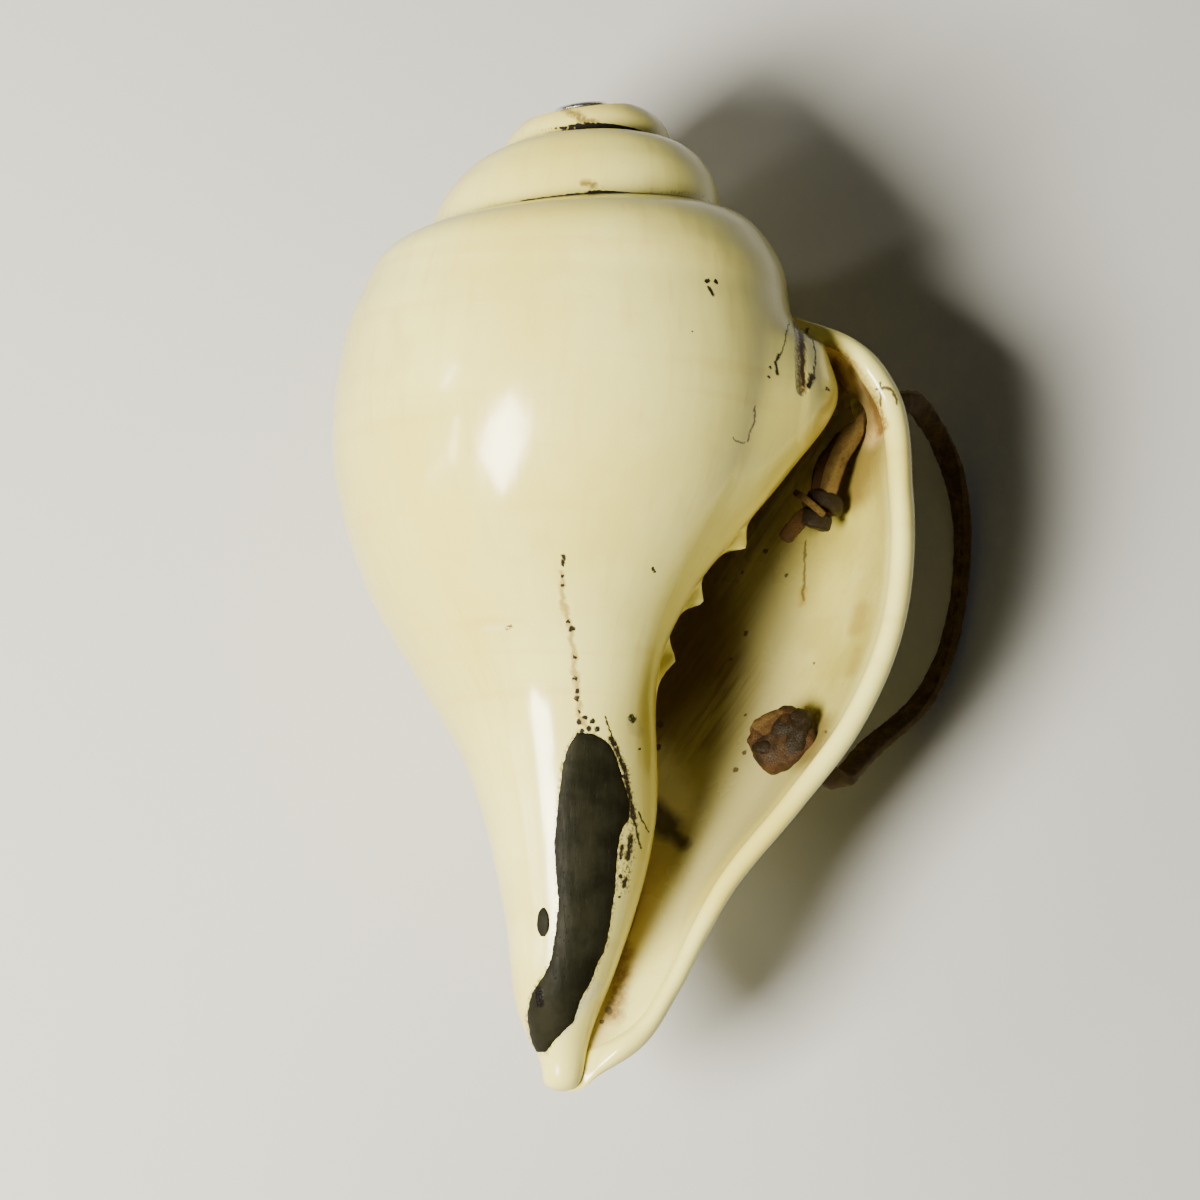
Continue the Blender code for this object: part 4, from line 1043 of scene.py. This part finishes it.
def front_marks(f, colour, base):
    """The front of the body and canal: the dotted trail, the tarry ridge beside the big
    fill, its dirty border, specks, a pale rubbed chip, and a greyer painted sheen low on the canal."""
    place, x, y = base["place"], base["x"], base["y"]
    grit = f.noise(place, 1.5, 3.0, 0.65)
    draw, trace = f.pen(f.shaken(place, 1.0, 1.0)), f.pen(f.shaken(place, 0.5, 2.4))
    ink = draw(
        (0.62, 0.25, (-3.4, -96.9, 29.9), (-3.4, -97.9, 29.3)),
        (0.12, 0.22, (5.1, -123.5, 15.6), (5.9, -125.5, 14.9), (6.6, -127.4, 14.1)),
        (0.55, 0.4, (6.2, -127.1, 14.5), (7.0, -128.3, 13.7), (7.9, -130.3, 12.8),
         (8.9, -132.5, 11.7), (9.6, -135.1, 10.9), (10.2, -137.7, 10.0), (10.9, -140.8, 9.0)),
        (0.24, 0.3, (10.9, -140.8, 9.0), (12.4, -145.9, 6.2)),
        (0.14, 0.25, (11.8, -139.7, 7.9), (12.8, -141.4, 6.3), (13.8, -142.8, 4.3)),
        (0.62, 0.4, (10.5, -144.1, 9.1), (10.4, -146.2, 9.0), (10.1, -148.0, 9.0)),
        (0.3, 0.3, (9.1, -145.8, 10.3), (8.8, -148.2, 10.2)),
        (0.4, 0.35, (9.9, -151.6, 8.4), (9.6, -153.0, 8.4)),
        spots=[(-3.4, -98.3, 29.0, 0.32), (-3.4, -100.2, 27.8, 0.35), (-3.4, -101.7, 26.8, 0.32),
               (-2.1, -107.5, 23.3, 0.43), (-1.5, -108.7, 22.5, 0.61), (-0.7, -113.5, 20.1, 0.38),
               (-0.6, -117.1, 18.9, 0.49), (-0.1, -119.3, 18.3, 0.49), (-0.1, -120.6, 18.0, 0.55),
               (0.4, -122.9, 17.4, 0.35), (0.5, -124.7, 17.1, 0.58), (1.5, -123.8, 17.0, 0.49),
               (2.8, -124.4, 16.6, 0.52), (2.3, -125.7, 16.5, 0.52), (3.7, -125.7, 16.0, 0.58),
               (1.1, -126.3, 16.7, 0.49), (9.9, -123.1, 11.7, 0.80), (12.6, -97.4, 22.1, 0.32),
               (12.9, -97.8, 21.4, 0.26), (8.9, -155.0, 8.8, 0.35), (11.6, -128.2, 8.9, 0.26),
               (9.0, -151.3, 9.4, 0.43), (8.6, -133.6, 10.8, 0.29)])
    ink = ink * f.step(grit, 0.26, 0.42, 0.4, 1.0)
    trail = trace((0.1, 0.8, (-3.4, -99.5, 28.2), (-3.5, -103.3, 26.0), (-2.1, -107.5, 23.3),
                   (-0.7, -113.5, 20.1), (-0.2, -119.2, 18.3), (0.4, -123.0, 17.4),
                   (2.0, -125.4, 16.6)))
    tar_edge = trace((1.0, 0.9, (6.8, -127.9, 13.9), (8.9, -132.5, 11.7), (10.2, -137.7, 10.0),
                      (10.9, -141.5, 9.0), (10.3, -147.0, 9.0), (9.7, -153.5, 8.4)))
    flecks = tar_edge * f.step(grit, 0.50, 0.60)
    halo = draw((1.2, 1.3, (10.2, -123.8, 11.2), (10.9, -125.0, 10.2))) * 0.4
    chip = draw((0.5, 0.5, (-16.5, -109.1, 20.2), (-14.3, -109.0, 21.3), (-13.0, -108.9, 21.8)))
    chip_end = draw((0.3, 0.4, (-12.9, -108.9, 21.9), (-12.3, -108.8, 22.1)))
    # painted sheen: a greyer streak low on the canal
    painted_sheen = draw((0.7, 0.8, (-0.8, -179.9, 4.7), (1.7, -176.3, 5.6), (5.6, -170.8, 6.9)))
    around = patch_border(f, x, y) * f.step(grit, 0.38, 0.66)
    colour = f.coats(colour, [
        ((0.34, 0.22, 0.05), trail * 0.75),
        ((0.34, 0.29, 0.14), halo),
        (BROWN, union(around * 0.8, flecks * 0.8)),
        ((0.80, 0.70, 0.28), chip * 0.75),
        ((0.16, 0.08, 0.025), chip_end * f.step(grit, 0.35, 0.5)),
        # painted sheen
        ((0.60, 0.58, 0.36), painted_sheen * 0.6),
        (INK, ink)])
    return colour, ink, None


def patch_border(f, x, y):
    """Share of dirt in a narrow border round the big fill: 1 up to 0.15 mm outside its
    left and right edges, which two ramps give for every y, and gone 0.75 mm out."""
    top, low = PATCH_ROWS[0][0], PATCH_ROWS[-1][0]
    run = (y + low) / (low - top)

    def edge(k):
        stops = [((low - row[0]) / (low - top), ((row[k] + 10.0) / 24.0,) * 3 + (1.0,))
                 for row in PATCH_ROWS[::-1]]
        return f.node("ValToRGB", {"stops": stops}, {0: run}) * 24.0 - 10.0

    out = union(edge(1) - x, x - edge(2))
    ends = f.step(y, -low - 0.9, -low - 0.1) * f.step(y, -top + 0.1, -top + 0.9, 1.0, 0.0)
    return f.step(out, 0.15, 0.75, 1.0, 0.0) * ends


def spread_finishes(mesh):
    """Gives each outer face the finish of its region, by where its middle is: spire,
    posterior corner or front; the rest stays plain."""
    count = len(mesh.polygons)
    middle, chosen = np.empty(count * 3), np.empty(count, np.int32)
    mesh.polygons.foreach_get("center", middle)
    mesh.polygons.foreach_get("material_index", chosen)
    x, y, z = ((middle.reshape(-1, 3) @ LAY + FOOT) / MM).T
    outer = chosen == 0
    chosen[outer & (y > -60.0)] = 2
    chosen[outer & (x > 15.0) & (z > -20.0) & (y < -36.0) & (y > -86.0)] = 3
    chosen[outer & (np.abs(x + 1.0) < 20.0) & (z > -3.0) & (y < -90.0)] = 4
    mesh.polygons.foreach_set("material_index", chosen)


def inner_shell():
    """The hollow's wall: cream, browned behind the columella by a stain and painted shade,
    with painted shadow round the upper hole and beside the knots, painted light in the
    posterior corner and low by the columella, smoky streaks, specks and a dark spot where
    the canal starts."""
    f = Finish("hollow_wall", Roughness=0.30, Coat_Weight=0.25, Coat_Roughness=0.12, IOR=1.52)
    colour, base = shell_base(f)
    place, x, y = base["place"], base["x"], base["y"]
    fine, lines = base["fine"], base["lines"]
    grit = f.noise(place, 1.1, 3.0, 0.6)
    draw = f.pen(f.shaken(place, 0.5, 1.4))

    streak_at = f.node("Mapping", {"vector_type": "POINT"}, {
        "Vector": place, "Rotation": (0.0, 0.0, math.radians(-58)), "Scale": (1.0,) * 3})
    streaks = f.noise(f.vector("MULTIPLY", streak_at, (0.06, 0.8, 0.10)), 1.0, 4.0, 0.65)
    smear = draw((5.0, 9.0, (22.0, -99.0, -42.0), (26.0, -109.2, -38.1), (22.5, -117.7, -35.5)))
    smear = smear * f.step(streaks, 0.36, 0.62, 0.25, 1.0)
    # the brown here is partly a stain and partly painted shade of the columella; it lies to the
    # left of a bent line from the first fold down to the canal
    low = y + 87.0
    limit = low * 0.15 + low.math("MAXIMUM", 0.0) * 0.5 + (low + 21.0).math("MINIMUM", 0.0) * 0.7
    deep = f.step(x - limit + (streaks - 0.5) * 12.0, 36.5, 25.0) * f.step(base["z"], -3.0, -9.0)
    inside = f.step(base["z"], -1.5, -7.0)
    # painted shadow: dark brown beside the upper strand and to the right of the lower knot
    under = draw(
        (3.0, 4.5, (53.5, -64.5, -14.5), (51.5, -69.5, -20.0), (50.0, -75.0, -24.0)),
        (2.5, 4.0, (44.0, -121.0, -17.0), (42.5, -127.0, -19.0))) * 0.75
    warm_low = draw((1.0, 5.5, (15.0, -146.0, -14.0), (9.7, -160.7, 3.0), (7.8, -172.0, -1.5),
                     (4.0, -182.0, 0.0)))
    dark = draw(
        (2.6, 3.0, (14.5, -136.5, -22.5), (17.3, -139.4, -20.0)),
        (0.4, 2.6, (17.3, -139.4, -20.0), (20.3, -142.6, -16.4)))
    canal = draw((0.8, 2.6, (10.4, -164.0, 2.0), (9.4, -170.5, 0.0), (8.6, -175.5, -1.0)))
    spots = draw(spots=[(34.8, -84.2, -38.5, 0.5), (30.6, -88.2, -41.0, 0.4),
        (38.7, -89.2, -35.0, 0.4), (31.5, -100.3, -38.0, 0.5), (28.7, -105.5, -38.0, 0.4),
        (44.0, -107.5, -23.3, 0.3), (31.7, -116.8, -30.6, 0.35), (31.5, -124.7, -24.4, 0.5),
        (29.9, -128.2, -22.5, 0.55), (45.6, -122.2, -4.6, 0.4), (15.8, -118.7, -36.6, 0.8),
        (15.3, -123.5, -33.4, 0.7), (7.0, -172.1, 2.9, 0.5), (7.8, -174.9, -1.1, 0.8),
        (6.7, -176.9, -0.8, 0.5)])
    crack = draw((0.12, 0.35, (42.0, -83.0, -31.9), (42.1, -88.9, -31.6), (41.9, -94.5, -30.9)))
    slit = draw((0.3, 0.3, (2.4, -182.2, 2.0), (2.6, -184.2, 2.0)))
    straw = union(draw((0.9, 1.8, (52.0, -98.0, -13.5), (51.3, -101.8, -13.3))),
                  draw((0.4, 1.4, (51.3, -106.3, -10.5), (50.2, -110.6, -9.1))) * 0.8,
                  draw((0.4, 0.9, (41.9, -92.5, -30.9), (41.7, -95.2, -30.6))))
    groove = draw((2.4, 3.2, (44.5, -52.1, 0.1), (46.8, -54.1, -6.6), (49.2, -57.5, -6.2),
                   (51.4, -60.6, -5.2), (53.2, -65.3, -4.0)))
    groove_edge = draw(
        (0.5, 0.9, (45.0, -52.9, -10.4), (47.2, -56.9, -12.1)),
        (0.6, 0.9, (48.2, -54.9, -1.3), (50.7, -58.1, 0.6), (52.8, -62.5, -0.2),
         (53.9, -66.5, -1.3)))
    # painted shade: dark brown round the upper drilled hole
    hole = draw(spots=[(48.5, -62.6, -11.2, 5.2)])
    # painted light: paler low beside the columella, against the shade there
    pale = draw((5.0, 6.0, (13.0, -127.0, -31.0), (17.0, -135.0, -24.0)))
    # painted light: paler in the posterior corner, against the shade there
    corner = draw((6.0, 3.0, (42.0, -53.0, -4.0), (46.0, -60.0, -9.0)))

    colour = f.coats(colour, [
        ((0.50, 0.42, 0.065), inside * f.step(fine, 0.30, 0.75, 0.50, 0.85)),
        ((0.50, 0.45, 0.185), inside * f.step(x, 48.0, 34.0) * 0.85),
        # painted light in the posterior corner and low by the columella
        ((0.92, 0.85, 0.55), union(corner * 0.9, pale * 0.75)),
        # brown stain with painted shade of the columella over it
        ((0.140, 0.088, 0.044), deep * 0.92),
        ((0.52, 0.38, 0.17), warm_low * 0.60),
        (BROWN, smear * 0.78),
        # painted shadow beside the knots
        ((0.16, 0.09, 0.02), under),
        ((0.05, 0.03, 0.012), dark * 0.92),
        ((0.20, 0.10, 0.03), canal * f.step(grit, 0.25, 0.6, 0.5, 1.0) * 0.85),
        (STRAW, straw * 0.8),
        ((0.80, 0.56, 0.20), groove * f.step(grit, 0.2, 0.6, 0.4, 0.9) * 0.8),
        ((0.22, 0.105, 0.018), groove_edge * 0.85),
        # painted shade round the upper hole
        ((0.06, 0.03, 0.01), hole * 0.5),
        ((0.10, 0.06, 0.02), union(spots * 0.9, crack * 0.75, slit))])
    f.paint(Base_Color=colour)
    f.paint(Roughness=0.26 + f.step(fine, 0.4, 0.8) * 0.12 + union(smear, spots, dark) * 0.25)
    ridges = f.noise(f.vector("MULTIPLY", streak_at, (0.04, 0.5, 0.06)), 1.0, 3.0, 0.5)
    f.paint(Normal=f.bump(ridges * 0.5 + lines * 0.15, 0.5, 0.5 * MM))
    return f.material


def pitch_finish():
    """Dark grey pitch: satin, brushed along the canal, with creases, pits and a few
    greyer rubbed places."""
    f = Finish("dark_pitch", Roughness=0.5, IOR=1.45, Specular_IOR_Level=0.06)
    place = f.shell_place()
    drag = f.noise(f.vector("MULTIPLY", place, (1.5, 0.22, 1.5)), 1.0, 4.0, 0.6)
    broad = f.noise(place, 0.16, 3.0, 0.55)
    pits = f.noise(place, 1.9, 2.0, 0.5)
    draw = f.pen(place)
    crease = draw(
        (0.0, 0.16, (3.1, -128.6, 14.1), (3.3, -136.4, 12.9), (3.6, -146.7, 11.6)),
        (0.0, 0.16, (2.8, -158.6, 10.1), (4.0, -166.5, 8.0)),
        (0.0, 0.14, (-1.0, -157.0, 13.0), (-0.4, -161.0, 12.0)))
    glossy = draw((1.0, 0.6, (-4.9, -172.4, 6.3), (-4.6, -174.4, 5.6)))
    colour = f.coats((0.0085, 0.0080, 0.0040), [
        ((0.0165, 0.0155, 0.0085), f.step(broad, 0.35, 0.68)),
        ((0.024, 0.022, 0.015), f.step(drag, 0.60, 0.78) * 0.5),
        ((0.035, 0.032, 0.024), crease * 0.6),
        ((0.006, 0.005, 0.004), glossy)])
    f.paint(Base_Color=colour)
    f.paint(Roughness=0.46 + f.step(drag, 0.4, 0.7) * 0.14 - glossy * 0.26)
    height = drag * 0.35 + broad * 0.5 - f.step(pits, 0.66, 0.76) * 0.35 - crease * 0.5
    height = height + glossy * pits * 1.4
    f.paint(Normal=f.bump(height, 0.8, 0.25 * MM))
    return f.material


def metal_finish():
    """White metal, dulled and finely scratched."""
    f = Finish("dull_white_metal", Metallic=1.0, Roughness=0.3)
    place = f.shell_place()
    worn = f.noise(place, 0.9, 3.0, 0.6)
    fine = f.noise(f.vector("MULTIPLY", place, (1.0, 8.0, 1.0)), 1.0, 3.0, 0.6)
    f.paint(Base_Color=f.mix((0.74, 0.73, 0.70), (0.38, 0.35, 0.30), f.step(worn, 0.48, 0.74)))
    f.paint(Roughness=0.24 + f.step(fine, 0.35, 0.7) * 0.22)
    f.paint(Normal=f.bump(fine, 0.25, 0.1 * MM))
    return f.material


def leather_finish():
    """Worn leather: smooth dark grain and rough tan suede by the attribute 'tone', with
    fibres, dirt and pale rubbed edges."""
    f = Finish("worn_leather", Roughness=0.6, IOR=1.45, Specular_IOR_Level=0.2)
    place = f.shell_place()
    fibre = f.noise(place, 2.6, 4.0, 0.7)
    patch = f.noise(place, 0.35, 3.0, 0.6)
    grain = f.node("TexVoronoi", {"feature": "DISTANCE_TO_EDGE"},
                   {"Vector": place, "Scale": 2.4})
    side = f.node("Attribute", {"attribute_name": "tone"}, {}, out=2)
    side = side + (patch - 0.5) * 0.8
    dark, red, tan = (0.017, 0.010, 0.0035), (0.066, 0.030, 0.007), (0.170, 0.108, 0.028)
    colour = f.coats(dark, [
        (red, f.step(side, 0.12, 0.50)),
        (tan, f.step(side, 0.50, 0.92)),
        ((0.25, 0.165, 0.05), f.step(fibre, 0.52, 0.78) * f.step(side, 0.3, 0.9) * 0.8),
        ((0.012, 0.008, 0.004), f.step(fibre, 0.46, 0.30) * 0.6)])
    f.paint(Base_Color=colour)
    f.paint(Roughness=0.42 + f.step(side, 0.2, 0.8) * 0.42)
    height = fibre * f.step(side, 0.2, 0.8, 0.35, 1.2) + f.step(grain, 0.0, 0.12) * 0.35
    f.paint(Normal=f.bump(height, 0.9, 0.35 * MM))
    return f.material


def floor_finish():
    """Plain pale card with the faintest unevenness."""
    f = Finish("pale_floor", Roughness=0.75)
    where = f.node("TexCoord", out=3)
    f.paint(Base_Color=f.mix((0.54, 0.54, 0.535), (0.57, 0.57, 0.565), f.noise(where, 9.0, 2.0)))
    return f.material


# pieces

leather = [leather_finish()]
thong = add_piece("thong_lace", thong_mesh, leather, "leather", "thong")
upper_knot = add_piece("upper_knot_laces", upper_knot_mesh, leather, "leather", "upper_knot")
lower_knot = add_piece("lower_knot_lump", lower_knot_mesh, leather, "leather", "lower_knot")

shell = add_piece("polished_shell", shell_mesh(), [
    outer_shell("polished_shell"), inner_shell(), outer_shell("polished_spire", spire_marks),
    outer_shell("polished_corner", spire_marks, corner_marks),
    outer_shell("polished_front", front_marks)], "shell", "shell")
mouth = MOUTH * MM
up_mouth = MOUTH_WAY @ np.array((0.0, 1.0, 0.0)) * MM
up_bore = np.array((0.0, 1.0, 0.0)) * MM
cut_away(shell, [
    bar("saw", mouth, mouth + 30 * up_mouth, 30 * MM),
    bar("seat", mouth - 2.4 * up_mouth, mouth + 3 * up_mouth, (PITCH_RADIUS + 0.3) * MM),
    bar("bore", mouth - 14 * up_bore, mouth + 3 * up_bore, BORE_RADIUS * MM),
    *(bar(name, np.array(start) * MM, np.array(end) * MM, DRILL_RADIUS)
      for name, start, end in DRILLS)])
shell.data.shade_smooth()
shell.data.set_sharp_from_angle(angle=math.radians(48))
spread_finishes(shell.data)

pitch = [pitch_finish()]
for name, rows, count, ragged, seed, node in (
        ("canal_fill", PATCH_ROWS, 230, 0.16 * MM, 1.0, "canal_patch"),
        ("canal_spot", DAB_ROWS, 60, 0.07 * MM, 6.0, "canal_dab")):
    add_piece(name, pitch_fill(name, rows, count, ragged, seed), pitch, "pitch", node)
add_piece("mouth_bed", turned("mouth_bed", [
    (PITCH_RADIUS, 2.1), (BORE_RADIUS, 2.1), (BORE_RADIUS, -1.3), (RING_RADIUS - 0.2, -1.4),
    (PITCH_RADIUS - 0.2, -0.6), (PITCH_RADIUS, 0.0)], 160, 0.05, 2.0),
    pitch, "pitch", "mouth_pitch")
add_piece("mouth_rim", turned("mouth_rim", [
    (RING_RADIUS, -1.6), (BORE_RADIUS + 0.1, -1.5), (BORE_RADIUS + 0.1, -2.2),
    (BORE_RADIUS + 0.6, -2.5), (RING_RADIUS - 0.4, -2.4), (RING_RADIUS, -2.0)], 160, 0.015, 5.0),
    [metal_finish()], "white_metal", "mouth_ring")


# floor and light

floor_mesh = bpy.data.meshes.new("floor")
floor_mesh.from_pydata([(-3, -3, 0), (3, -3, 0), (3, 3, 0), (-3, 3, 0)], [], [(0, 1, 2, 3)])
floor_mesh.materials.append(floor_finish())
floor = put("floor", floor_mesh)


def soft_light(name, near, way, distance, size, power, spin=0.0, colour=(1.0, 0.955, 0.80)):
    """An area light off the shell-frame point near (mm), along way, facing back at it."""
    way = np.array(way, float) / np.linalg.norm(way)
    at = lay(np.array(near) * MM + way * distance)
    data = bpy.data.lights.new(name, "AREA")
    data.shape = "RECTANGLE"
    data.size, data.size_y = size
    data.energy, data.color = power, colour
    aim = Vector(LAY @ way).to_track_quat("Z", "Y").to_matrix().to_4x4()
    put(name, data).matrix_world = Matrix.Translation(at) @ aim @ Matrix.Rotation(spin, 4, "Z")


soft_light("key", (-14.5, -77.9, 37.5), (-0.481, -0.325, 0.815), 0.62, (0.19, 0.25), 15.0, 0.25)
soft_light("slim_a", (-24.7, -66.3, 35.5), (-0.871, 0.088, 0.483), 0.60, (0.025, 0.09), 0.55, 0.8)
soft_light("slim_b", (-23.4, -77.7, 34.2), (-0.818, -0.255, 0.515), 0.60, (0.03, 0.12), 0.6, 0.8)
soft_light("left_strip", (-7.5, -147.5, 11.3), (-0.90, -0.20, 0.38), 0.60, (0.03, 0.20), 0.45, 0.0)
soft_light("top_fill", (0.0, -80.0, 0.0), (0.15, 0.30, 0.94), 1.3, (1.2, 1.2), 0.4)

world = bpy.data.worlds.new("studio")
bpy.context.scene.world = world
world.use_nodes = True
world.node_tree.nodes["Background"].inputs[0].default_value = (1.0, 0.98, 0.93, 1.0)
world.node_tree.nodes["Background"].inputs[1].default_value = 0.03
